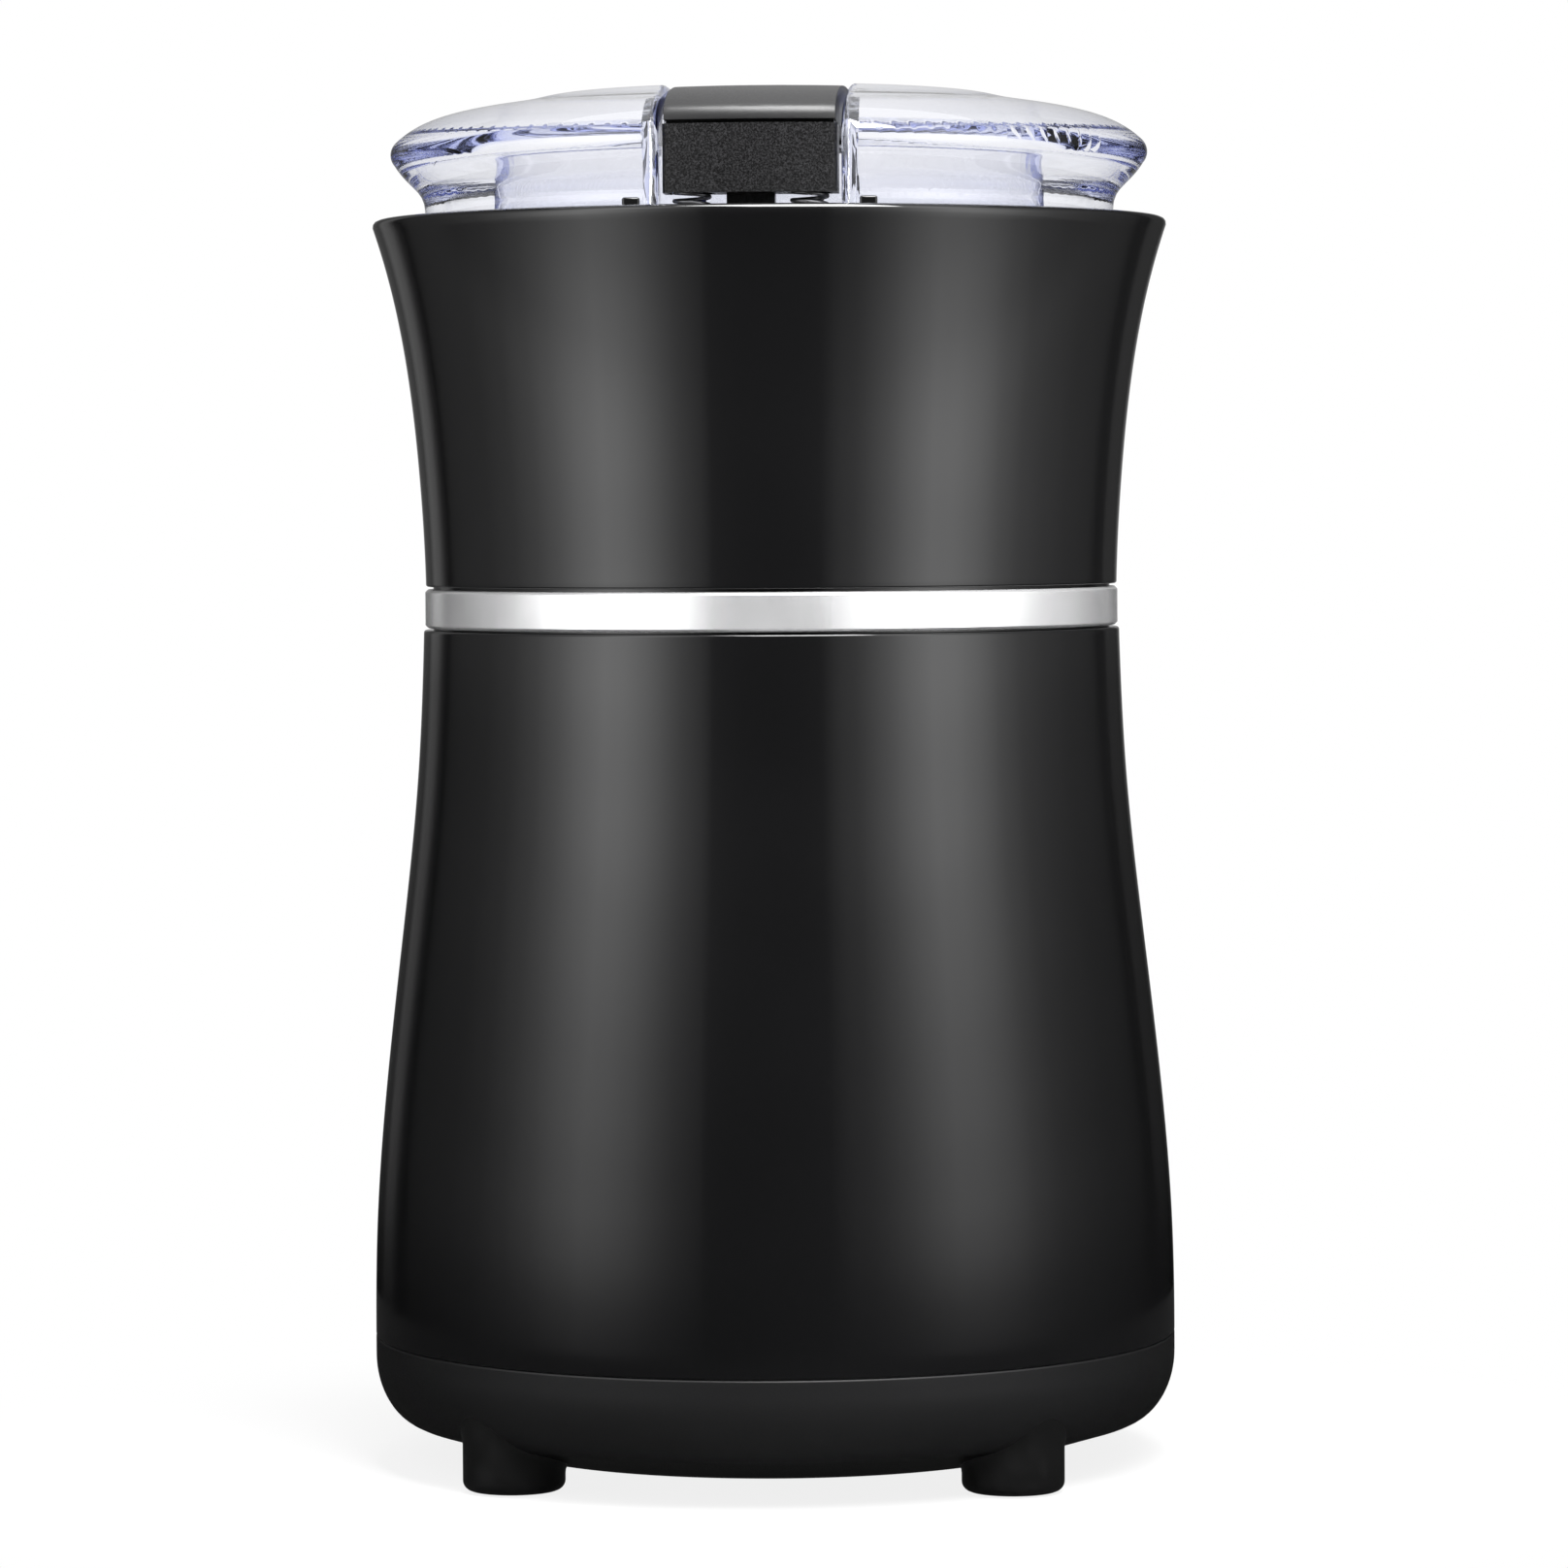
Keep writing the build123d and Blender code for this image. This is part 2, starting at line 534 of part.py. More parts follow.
def button_cap():
    """Satin cover that rolls over the front edge and follows the dome."""
    start = (-KEY_FRONT_Y + 0.2, CAP_BOTTOM_Z)
    roll_start = (start[0], 165.4)
    roll_end = (43.3, 167.3)
    crown = (0, LID_TOP_Z + 0.2)
    dome = spun(
        Line(start, roll_start),
        Spline(roll_start, roll_end, tangents=[(0, 1), (-1, 0.38)]),
        Spline(roll_end, (32.9, 169.5), crown, tangents=[(-1, 0.38), (-1, 0)]),
        Line(crown, (0, CAP_BOTTOM_Z)),
        Line((0, CAP_BOTTOM_Z), start),
    )
    half = KEY_HALF_W - 0.2
    cover = dome & block((-half, half), (-start[0] - 1, CHANNEL_REAR_Y - 0.6), (CAP_BOTTOM_Z, LID_TOP_Z + 1))
    across = (-TONGUE_HALF_W - GAP, TONGUE_HALF_W + GAP)
    cover -= block(across, (TONGUE_FRONT_Y - GAP, CHANNEL_REAR_Y), (160, TONGUE_TOP_Z + 0.05))
    cover -= rod_along_x(2.6, *across, HINGE_Y, HINGE_Z)
    return cover - rod_along_x(HINGE_PIN_R + 0.2, -12, 12, HINGE_Y, HINGE_Z)


def button_spring(side):
    """Return spring under one side of the key."""
    coil = coil_spring(KEY_SPRING_R, KEY_WIRE_R, SHELF_TOP_Z, KEY_SPRING_TOP_Z, 5)
    return Pos(side * KEY_SPRING_X, KEY_SPRING_Y, 0) * coil


# ---- push rod and switch ------------------------------------------------
def push_rod():
    """Plunger that carries the key's travel down to the switch lever."""
    head = chamfer(rod(ROD_HEAD_R, 150.4, ROD_TOP_Z).edges().sort_by(Axis.Z)[-1], 0.4)
    tip = (Pos(0, 0, ROD_TIP_Z + 2.2) * Sphere(2.2)) & rod(3, ROD_TIP_Z, BOSS_BOTTOM_Z - 0.25)
    return Pos(0, LEG_Y, 0) * (head + rod(ROD_R, BOSS_BOTTOM_Z - 0.5, 150.6) + tip)


def push_rod_spring():
    """Return spring inside the rod guide."""
    return Pos(0, LEG_Y, 0) * coil_spring(2.15, 0.25, BOSS_FLOOR_Z, 150.4, 5)


def switch_body():
    """Miniature snap switch with its terminals below."""
    case = chamfer(block(SWITCH_X, SWITCH_Y, SWITCH_Z).edges().filter_by(Axis.Y), 0.4)
    middle_y = sum(SWITCH_Y) / 2
    for x in SWITCH_HOLES_X:
        case -= rod_along_y(1.0, -45, -30, x, SWITCH_HOLE_Z)
    case -= rod(0.9, 136.4, 139, PLUNGER_X, middle_y)
    for side in (-1, 1):
        edges = sorted((middle_y + side * 1.0, middle_y + side * 2.0))
        case += block((LEVER_PIVOT_X - 0.7, LEVER_PIVOT_X + 0.7), edges, (SWITCH_Z[1] - 0.3, 139.4))
    case -= rod_along_y(0.45, -45, -30, LEVER_PIVOT_X, LEVER_PIVOT_Z)
    blades_y = (middle_y - 1.3, middle_y + 1.3)
    for x in SWITCH_TERMINALS_X:
        case += block((x - 0.4, x + 0.4), blades_y, (SWITCH_TERMINAL_Z, SWITCH_Z[0] + 0.3))
    return case


def switch_plunger():
    """Small plunger that the lever presses into the switch."""
    return rod(0.8, 137.6, 139.25, PLUNGER_X, sum(SWITCH_Y) / 2)


def switch_lever():
    """Leaf that turns on a pivot pin and lies over the plunger."""
    middle_y = sum(SWITCH_Y) / 2
    leaf = Pos(LEVER_PIVOT_X, middle_y, LEVER_PIVOT_Z) * Rot(0, -LEVER_SLOPE, 0) * Box(
        11.6, 1.8, 0.4, align=(Align.MIN, Align.CENTER, Align.CENTER)
    )
    pad = Pos(LEVER_PIVOT_X, middle_y - 0.3, LEVER_PIVOT_Z) * Rot(0, -LEVER_SLOPE, 0) * Pos(7.4, 0, 0) * Box(
        4.2, 4.4, 0.4, align=(Align.MIN, Align.CENTER, Align.CENTER)
    )
    pin = rod_along_y(0.4, middle_y - 2.1, middle_y + 2.1, LEVER_PIVOT_X, LEVER_PIVOT_Z)
    return leaf + pad + pin


def switch_screws():
    """Two screws through the switch into the housing posts."""
    screws = []
    for x in SWITCH_HOLES_X:
        screws.append(rod_along_y(0.95, -42.3, SWITCH_Y[1] + 0.2, x, SWITCH_HOLE_Z)
                      + rod_along_y(1.8, SWITCH_Y[1], SWITCH_Y[1] + 0.8, x, SWITCH_HOLE_Z))
    return Compound(children=screws)


# ---- motor, fixed side --------------------------------------------------
def bolt_places():
    """Centres of the four stator bolts."""
    return [(sx * BOLT_X, sy * BOLT_Y) for sx in (-1, 1) for sy in (-1, 1)]


def plate(half_x, half_y, corner_r, z_span):
    """Flat plate with round corners."""
    face = Pos(0, 0, z_span[0]) * RectangleRounded(2 * half_x, 2 * half_y, corner_r)
    return extrude(face, z_span[1] - z_span[0])


def stator_core():
    """Lamination stack with a round bore and four coil windows."""
    stack = plate(CORE_HALF_X, CORE_HALF_Y, 12, CORE_Z) - rod(BORE_R, *CORE_Z)
    for sx in (-1, 1):
        for sy in (-1, 1):
            stack -= block(sorted((sx * 12, sx * 22)), sorted((sy * 9, sy * 18)), CORE_Z)
    for x, y in bolt_places():
        stack -= rod(BOLT_R + GAP, *CORE_Z, x, y)
    return stack


def field_coil(side):
    """Winding around one pole, hollowed to clear the armature."""
    height = (CORE_Z[0] - 6, CORE_Z[1] + 6)
    outer = fillet(block((-21.2, 21.2), (9.6, COIL_FACE_Y), height).edges().filter_by(Axis.Y), 5)
    inner = block((-12.4, 12.4), (0, 30), (CORE_Z[0] - 0.3, CORE_Z[1] + 0.3))
    coil = outer - inner - rod(BORE_R - 0.2, 30, 80)
    return coil if side > 0 else Rot(0, 0, 180) * coil


def lower_bracket():
    """Plate under the motor with four spacers and the lower bearing seat."""
    frame = plate(28, 23, 8, LOWER_PLATE_Z) + rod(7.5, 15.6, LOWER_PLATE_Z[1])
    frame -= rod(5.5, 16.6, LOWER_PLATE_Z[1] + 1) + rod(SHAFT_R + 0.5, 15, 17)
    for x, y in bolt_places():
        frame += rod(3.2, LOWER_PLATE_Z[1] - 1, CORE_Z[0], x, y)
        frame -= rod(BOLT_R + GAP, 15, CORE_Z[0] + 1, x, y)
    return frame


def upper_bracket():
    """Disc above the fan with four legs, three ears and the upper bearing seat."""
    frame = rod(33, *UPPER_PLATE_Z) + rod(7.5, 88, UPPER_PLATE_Z[1])
    for angle in DAMPER_ANGLES:
        x, y = on_circle(DAMPER_CIRCLE_R, angle)
        frame += rod(4.5, *UPPER_PLATE_Z, x, y)
        frame -= rod(BOLT_R + GAP, 90, 97, x, y)
    frame -= rod(5.5, 87, 94) + rod(SHAFT_R + 0.5, 90, 97)
    for step in range(6):
        x, y = on_circle(21, 60 * step + 30)
        frame -= rod(5.0, 90, 97, x, y)
    for x, y in bolt_places():
        frame += rod(2.6, CORE_Z[1], UPPER_PLATE_Z[0] + 1, x, y)
        frame -= rod(BOLT_R, CORE_Z[1] - 1, UPPER_PLATE_Z[1] + 1, x, y)
    return frame


def bearing(bottom, top):
    """Sintered bush for the motor shaft."""
    return tube(5.5, SHAFT_R + BEARING_PLAY, bottom, top)


def stator_bolts():
    """Long bolts that clamp both brackets to the core."""
    bolts = []
    for x, y in bolt_places():
        bolts.append(rod(2.8, LOWER_PLATE_Z[0] - 2.2, LOWER_PLATE_Z[0], x, y)
                     + rod(BOLT_R, LOWER_PLATE_Z[0] - 0.5, UPPER_PLATE_Z[1] + 0.5, x, y))
    return Compound(children=bolts)


def motor_damper(angle):
    """Rubber spacer between the motor and the housing flange."""
    x, y = on_circle(DAMPER_CIRCLE_R, angle)
    return tube(4.2, BOLT_R + GAP, UPPER_PLATE_Z[1], FLANGE_Z[0], x, y)


def motor_mount_screws():
    """Screws through the ears and dampers into the flange."""
    screws = []
    for angle in DAMPER_ANGLES:
        x, y = on_circle(DAMPER_CIRCLE_R, angle)
        screws.append(rod(2.8, UPPER_PLATE_Z[0] - 2.2, UPPER_PLATE_Z[0], x, y)
                      + rod(BOLT_R, UPPER_PLATE_Z[0] - 0.5, FLANGE_Z[1], x, y))
    return Compound(children=screws)


def brush_card():
    """Insulating plate that carries the brush holders."""
    card = plate(28, 23, 8, (23, 25.2)) - rod(11.5, 22, 26)
    for x, y in bolt_places():
        card -= rod(3.3, 22, 26, x, y)
    return card + tube(13.5, 11.5, LOWER_PLATE_Z[1], 23.1)


def brush_holder(side):
    """Square brass tube, closed at its outer end."""
    box = block((11, HOLDER_END_X), (-3.6, 3.6), (25.2, 33.8))
    box -= block((10, HOLDER_END_X - 1), (-2.6, 2.6), (BRUSH_Z - 3.1, BRUSH_Z + 3.1))
    return box if side > 0 else Rot(0, 0, 180) * box


def brush(side):
    """Carbon brush that bears on the commutator."""
    carbon = block((8.7, 19.5), (-2.5, 2.5), (BRUSH_Z - 3, BRUSH_Z + 3)) - rod(COMMUTATOR_R + 0.15, 20, 40)
    return carbon if side > 0 else Rot(0, 0, 180) * carbon


def brush_spring(side):
    """Spring that pushes one brush inwards."""
    coil = Pos(0, 0, BRUSH_Z) * Rot(0, 90, 0) * coil_spring(1.9, 0.25, 19.5, 26, 6)
    return coil if side > 0 else Rot(0, 0, 180) * coil


def thermal_cutout():
    """Cut-out clipped to the front winding."""
    return block((-5, 5), (-21.2, -17.2), (CORE_Z[1] + 0.3, CORE_Z[1] + 5.5))


# ---- motor, turning side ------------------------------------------------
def motor_shaft():
    """Steel shaft from the lower bearing to the blade nut."""
    return chamfer(rod(SHAFT_R, SHAFT_BOTTOM_Z, SHAFT_TOP_Z).edges().filter_by(GeomType.CIRCLE), 0.4)


def slot_bars(width, inner_r, outer_r, z_span):
    """Radial bars, one for each armature slot."""
    bar = block((inner_r, outer_r), (-width / 2, width / 2), z_span)
    return [Rot(0, 0, 360 / SLOTS * step) * bar for step in range(SLOTS)]


def armature_core():
    """Slotted lamination stack on the shaft."""
    return tube(ARMATURE_R, SHAFT_R, *CORE_Z) - slot_bars(2.4, 8.5, 16, CORE_Z)


def armature_windings():
    """Copper in the slots with a bundle at each end."""
    copper = tube(13.4, 4.2, CORE_Z[1], CORE_Z[1] + 6.5) + tube(13.4, 4.2, CORE_Z[0] - 6.5, CORE_Z[0])
    copper = fillet(copper.edges().filter_by(GeomType.CIRCLE).sort_by(SortBy.LENGTH)[-4:], 2)
    return copper + slot_bars(2.2, 8.7, 13.6, (CORE_Z[0] - 1, CORE_Z[1] + 1))


def commutator():
    """Copper segments with a riser collar, cut by fine grooves."""
    drum = tube(COMMUTATOR_R, SHAFT_R, 24.2, 36) + tube(10, SHAFT_R, 34.4, 36.4)
    return drum - [
        Rot(0, 0, 360 / SLOTS * step) * block((COMMUTATOR_R - 0.7, 11), (-0.2, 0.2), (24, 37))
        for step in range(SLOTS)
    ]


def cooling_fan():
    """Radial fan above the windings."""
    fan = tube(6.5, SHAFT_R, 78.5, 86) + tube(FAN_R, SHAFT_R, 79.2, 80.7)
    vane = block((6, FAN_R - 0.6), (-0.6, 0.6), (80.2, 86))
    for step in range(FAN_BLADES):
        fan += Rot(0, 0, 360 / FAN_BLADES * step) * vane
    return fan


def blade_hub():
    """Collar under the blade."""
    return tube(5.4, SHAFT_R, 113.2, BLADE_Z)


def blade():
    """Two-wing steel blade with bent ends."""
    flat = block((-17, 17), (-5, 5), (BLADE_Z, BLADE_Z + BLADE_THICK))
    reach = BLADE_R - 16.6
    wing = block((0, reach), (-5, 5), (0, BLADE_THICK))
    edge = Pos(reach / 2, 5.2, BLADE_THICK) * Rot(30, 0, 0) * Box(reach + 2, 3.2, 1.6)
    wing -= edge
    wing = Pos(16.4, 0, BLADE_Z) * Rot(0, -12, 0) * wing
    far_wing = Rot(0, 0, 180) * wing
    return flat + wing + far_wing - rod(SHAFT_R, 110, 125)


def blade_nut():
    """Cap-shaped hexagon nut on the shaft end."""
    hexagon = extrude(Pos(0, 0, BLADE_Z + BLADE_THICK) * RegularPolygon(4.7, 6), 4.2)
    return hexagon - rod(SHAFT_R, 110, 125)


# ---- internal leads -----------------------------------------------------
def lead_live():
    """Supply lead from the terminal block to the switch."""
    return lead(
        (TERMINAL_X[1], TERMINAL_Y, TERMINAL_HOLE_Z),
        (TERMINAL_X[1], TERMINAL_Y, 30),
        (-30, 27.5, 42),
        (-39.5, -2, 46),
        (-30, -27, 56),
        (-10, -37.5, 67),
        (-7.4, -37.3, 82),
        (-7.6, -36.4, 98),
        (-7.4, -36.5, 110),
        (SWITCH_TERMINALS_X[0], SWITCH_TERMINAL_Y, 119),
        (SWITCH_TERMINALS_X[0], SWITCH_TERMINAL_Y, SWITCH_TERMINAL_Z),
    )


def lead_switched():
    """Lead from the switch to the thermal cut-out."""
    return lead(
        (SWITCH_TERMINALS_X[1], SWITCH_TERMINAL_Y, SWITCH_TERMINAL_Z),
        (SWITCH_TERMINALS_X[1], SWITCH_TERMINAL_Y, 119),
        (1.6, -36.4, 106),
        (1.4, -36.8, 91),
        (1.5, -34.5, 79),
        (1.5, -29, 72.8),
        (1.5, -21.2, 72.8),
    )


def lead_neutral():
    """Supply lead from the terminal block to the left brush holder."""
    return lead(
        (TERMINAL_X[0], TERMINAL_Y, TERMINAL_HOLE_Z),
        (TERMINAL_X[0], TERMINAL_Y, 20),
        (-27, 26.5, 28),
        (-30, 17.5, 33.5),
        (-31.8, 6, 31.5),
        (-32, 0, BRUSH_Z),
        (-HOLDER_END_X, 0, BRUSH_Z),
    )


def lead_brush_to_field():
    """Link from the right brush holder to the rear winding."""
    return lead(
        (HOLDER_END_X, 0, BRUSH_Z),
        (32.5, 0, BRUSH_Z),
        (33, 7, 32.5),
        (30, 17, 36.5),
        (27, 26, 39.5),
        (15, 26, COIL_LEAD_Z),
        (15, COIL_FACE_Y, COIL_LEAD_Z),
    )


def build_all():
    """Every sub-part by node name."""
    nodes = {
        "base_pan": base_pan(),
        "base_screws": base_screws(),
        "terminal_block": terminal_block(),
        "lower_housing": lower_housing(),
        "trim_ring": trim_ring(),
        "upper_housing": upper_housing(),
        "housing_screws": housing_screws(),
        "cord_gland": cord_gland(),
        "grinding_bowl": grinding_bowl(),
        "shaft_seal": shaft_seal(),
        "lid_shell": lid_shell(),
        "button_pin": button_pin(),
        "button_body": button_body(),
        "button_cap": button_cap(),
        "button_spring_left": button_spring(-1),
        "button_spring_right": button_spring(1),
        "push_rod": push_rod(),
        "push_rod_spring": push_rod_spring(),
        "switch_body": switch_body(),
        "switch_plunger": switch_plunger(),
        "switch_lever": switch_lever(),
        "switch_screws": switch_screws(),
        "stator_core": stator_core(),
        "field_coil_front": field_coil(-1),
        "field_coil_rear": field_coil(1),
        "lower_bracket": lower_bracket(),
        "upper_bracket": upper_bracket(),
        "lower_bearing": bearing(16.6, 22.0),
        "upper_bearing": bearing(88.5, 94.0),
        "stator_bolts": stator_bolts(),
        "motor_mount_screws": motor_mount_screws(),
        "brush_card": brush_card(),
        "brush_holder_left": brush_holder(-1),
        "brush_holder_right": brush_holder(1),
        "brush_left": brush(-1),
        "brush_right": brush(1),
        "brush_spring_left": brush_spring(-1),
        "brush_spring_right": brush_spring(1),
        "thermal_cutout": thermal_cutout(),
        "lead_live": lead_live(),
        "lead_switched": lead_switched(),
        "lead_neutral": lead_neutral(),
        "lead_brush_to_field": lead_brush_to_field(),
        "motor_shaft": motor_shaft(),
        "armature_core": armature_core(),
        "armature_windings": armature_windings(),
        "commutator": commutator(),
        "cooling_fan": cooling_fan(),
        "blade_hub": blade_hub(),
        "blade": blade(),
        "blade_nut": blade_nut(),
    }
    for name, (x, y) in foot_places().items():
        nodes["foot_" + name] = rubber_foot(x, y)
    for number, angle in enumerate(DAMPER_ANGLES, start=1):
        nodes[f"motor_damper_{number}"] = motor_damper(angle)
    return nodes


os.makedirs("parts", exist_ok=True)
for node_name, shape in build_all().items():
    export_step(shape, f"parts/{node_name}.step")
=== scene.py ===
import json
from cmath import phase, rect
from math import ceil, cos, degrees, pi, radians, sin, tan

import bmesh
import bpy
import numpy as np
from bpy.props import FloatProperty, FloatVectorProperty, IntProperty, PointerProperty
from bpy.types import Operator, Panel, PropertyGroup
from mathutils import Matrix, Vector


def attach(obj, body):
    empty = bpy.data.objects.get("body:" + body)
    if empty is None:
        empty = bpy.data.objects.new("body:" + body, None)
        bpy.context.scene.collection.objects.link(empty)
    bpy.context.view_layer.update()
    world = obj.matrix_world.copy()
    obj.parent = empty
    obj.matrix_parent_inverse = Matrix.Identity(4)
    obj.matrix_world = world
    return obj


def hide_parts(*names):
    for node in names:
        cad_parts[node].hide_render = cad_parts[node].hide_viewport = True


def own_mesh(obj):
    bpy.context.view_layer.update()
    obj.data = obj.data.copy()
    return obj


bl_info = {
    "name": "Spice Grinder Builder",
    "version": (1, 0, 0),
    "blender": (4, 5, 0),
    "location": "View3D > Sidebar > Grinder",
    "description": "Builds the casing, lid, key, bowl, motor and studio of an electric spice grinder",
    "category": "Add Mesh",
}

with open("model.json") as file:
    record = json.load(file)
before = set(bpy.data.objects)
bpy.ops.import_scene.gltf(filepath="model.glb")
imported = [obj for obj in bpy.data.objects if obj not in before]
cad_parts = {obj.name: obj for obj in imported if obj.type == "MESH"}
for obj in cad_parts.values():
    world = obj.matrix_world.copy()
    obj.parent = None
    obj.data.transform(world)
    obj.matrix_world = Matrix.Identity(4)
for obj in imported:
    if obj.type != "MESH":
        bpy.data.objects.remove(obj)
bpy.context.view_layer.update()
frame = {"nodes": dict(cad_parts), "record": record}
BODY_OF = {node: body for body, nodes in frame["record"]["behaviour"]["bodies"].items() for node in nodes}
SLOT_OF = {part["node"]: part["material_slot"] for part in frame["record"]["subparts"]}

# Lengths in this file are millimetres unless a name says metres.
MM = 0.001

# casing heights and radii
WIDEST_R = 50.15
SEAM_Z = 15.9
LOWER_TOP_Z = 104.1
WAIST_R = 43.5
RING_Z = (104.35, 109.15)
RING_R = 43.3
RING_STEP_R = 42.3
SPIGOT_R = 40.7
SPIGOT_INNER_R = 39.2
SPIGOT_TOP_Z = 112.6
UPPER_BOTTOM = (43.2, 109.5)
FLARE = (49.5, 154.1)
RIM_Z = 155.0
LEDGE_Z = 152.4
LEDGE_R = 35.7
LOWER_WALL = 2.6
UPPER_WALL = 2.3
FLANGE_Z = (100.4, 103.0)
LOWER_SIDE = [(WIDEST_R, SEAM_Z), (49.85, 30.6), (48.4, 48.8), (46.3, 67.1), (44.4, 85.3), (WAIST_R, 103.8)]
UPPER_SIDE = [UPPER_BOTTOM, (43.8, 121.8), (45.0, 133.9), (47.2, 146.1), FLARE]

# feet, screws, gland and cooling slots
FOOT_R = 6.25
FOOT_CIRCLE_R = 42.9
BASE_SCREW_CIRCLE_R = 38.0
BASE_SCREW_ANGLES = (20, 160, 200, 340)
HOUSING_SCREW_CIRCLE_R = 36.3
HOUSING_SCREW_ANGLES = (60, 180, 300)
DAMPER_CIRCLE_R = 35.5
DAMPER_ANGLES = (0, 120, 240)
GLAND_Z = 30.0
GLAND_POCKET_R = 7.6
GLAND_POCKET_Y = 48.3
GLAND_BORE_R = 5.2
GLAND_HOLE_R = 3.3
SLOT_HALF_WIDTH = 1.1
SLOT_ENDS_R = (14.0, 28.0)
SLOT_COUNT = 8

# rim, ledge, bowl and shaft
RIM_INNER_R = 47.0
FLANGE_INNER_R = 32.0
SCREW_SHELF_R = 33.8
CUP_CURVE = (20.6, 121.5)
SEAL_R = 3.08
THREAD_Z = (118.6, 121.2)

# How the lid's turned faces are found and laid: distance that still counts as on them, least agreement of
# directions over a flat pair of faces and between a corner and its face, and the passes of splitting, as
# (longest edge, radius that a fine pass reaches). The fine passes keep to the crest.
LID_GAP = 0.06
FLAT_ENOUGH = 0.75
SAME_WAY = 0.8
LID_PASSES = ((1.3, 99), (1.3, 99), (1.3, 99), (0.8, 48), (0.65, 44.3))
CREST_R = 42
CREST_Z = 163.2
CREST_HALF_HEIGHT = 1.9

# springs, push rod, switch and motor
ROD_Y = -40.4
KEY_SPRING = (7.0, -41.3)
KEY_SPRING_FOOT_Z = 154.3
ROD_SPRING_FOOT_Z = 144.4
BRUSH_Z = 29.5
SWITCH_SCREWS_X = (-6.45, 0.05)
SWITCH_SCREWS_Z = 133.2
BOLTS = [(sx * 24.0, sy * 19.0) for sx in (-1, 1) for sy in (-1, 1)]


# ---- line work ------------------------------------------------------------
def smooth_line(points, start, end, step=1.0, pull=(1, 1)):
    """Smooth line through (radius, height) points, with its directions and their strengths at both ends."""
    spots = np.array(points, float)
    runs = np.linalg.norm(np.diff(spots, axis=0), axis=1)
    count = len(spots)
    matrix = np.eye(count)
    slopes = np.zeros((count, 2))
    slopes[0] = pull[0] * np.array(start) / np.linalg.norm(start)
    slopes[-1] = pull[1] * np.array(end) / np.linalg.norm(end)
    for i in range(1, count - 1):
        matrix[i, i - 1: i + 2] = runs[i], 2 * (runs[i - 1] + runs[i]), runs[i - 1]
        before = (spots[i] - spots[i - 1]) / runs[i - 1]
        after = (spots[i + 1] - spots[i]) / runs[i]
        slopes[i] = 3 * (runs[i] * before + runs[i - 1] * after)
    slopes = np.linalg.solve(matrix, slopes)
    line = []
    for i, run in enumerate(runs):
        pieces = max(2, ceil(run / step))
        for t in np.arange(pieces) / pieces:
            line.append(
                (1 + 2 * t) * (1 - t) ** 2 * spots[i]
                + t * (1 - t) ** 2 * run * slopes[i]
                + t * t * (3 - 2 * t) * spots[i + 1]
                + t * t * (t - 1) * run * slopes[i + 1]
            )
    return [tuple(spot) for spot in line] + [tuple(spots[-1])]


def eased(corners, arc_step=15):
    """Closed outline from (x, y) or (x, y, rounding) corners, with an arc at each rounded one."""
    outline = []
    for i, corner in enumerate(corners):
        here = Vector(corner[:2])
        rounding = corner[2] if len(corner) > 2 else 0
        if not rounding:
            outline.append(tuple(here))
            continue
        back = (Vector(corners[i - 1][:2]) - here).normalized()
        ahead = (Vector(corners[(i + 1) % len(corners)][:2]) - here).normalized()
        half = back.angle(ahead) / 2
        centre = here + (back + ahead).normalized() * (rounding / sin(half))
        first = here + back * (rounding / tan(half)) - centre
        last = here + ahead * (rounding / tan(half)) - centre
        sweep = first.angle_signed(last)
        steps = max(2, ceil(abs(degrees(sweep)) / arc_step))
        for k in range(steps + 1):
            turn = Matrix.Rotation(-sweep * k / steps, 2)
            outline.append(tuple(centre + turn @ first))
    return outline


def pan_underside(radius):
    """Height of the pan's outer surface at a radius."""
    line = pan_side()
    return float(np.interp(radius, [r for r, z in line], [z for r, z in line]))


def pan_side():
    """Outside of the pan from its middle to the seam."""
    corner = smooth_line([(46, 5.3), (48.9, 8.2), (WIDEST_R, 13.5)], (1, 0.4), (0, 1), 0.6)
    return [(0, 1.95), (34.3, 1.95), (35.7, 2.15)] + corner + [(WIDEST_R, SEAM_Z)]


# ---- mesh work ------------------------------------------------------------
def new_object(name, data):
    """Object with this mesh, lamp or camera in the scene."""
    piece = bpy.data.objects.new(name, data)
    bpy.context.scene.collection.objects.link(piece)
    return piece


def kept(name, shape):
    """Object from a bmesh as it stands; the bmesh is then freed."""
    mesh = bpy.data.meshes.new(name)
    shape.to_mesh(mesh)
    shape.free()
    return new_object(name, mesh)


def from_bmesh(name, shape):
    """Object from a bmesh drawn in millimetres."""
    bmesh.ops.scale(shape, vec=(MM, MM, MM), verts=shape.verts)
    bmesh.ops.recalc_face_normals(shape, faces=shape.faces)
    return kept(name, shape)


def full_turn(steps):
    """Angles of a round shape's corners, in radians."""
    return [2 * pi * k / steps for k in range(steps)]


def turned_shape(shape, outline, steps, place=Matrix.Identity(4)):
    """Adds the closed (radius, height) outline turned about Z to a bmesh."""
    rings = []
    for radius, height in outline:
        spots = [Vector((radius * cos(turn), radius * sin(turn), height)) for turn in full_turn(steps)]
        if radius < 1e-6:
            spots = [Vector((0, 0, height))]
        rings.append([shape.verts.new(place @ spot) for spot in spots])
    for i, lower in enumerate(rings):
        upper = rings[(i + 1) % len(rings)]
        if len(lower) == 1 and len(upper) == 1:
            continue
        for k in range(steps):
            corners = [lower[k % len(lower)], lower[(k + 1) % len(lower)]]
            corners += [upper[(k + 1) % len(upper)], upper[k % len(upper)]]
            shape.faces.new(list(dict.fromkeys(corners)))


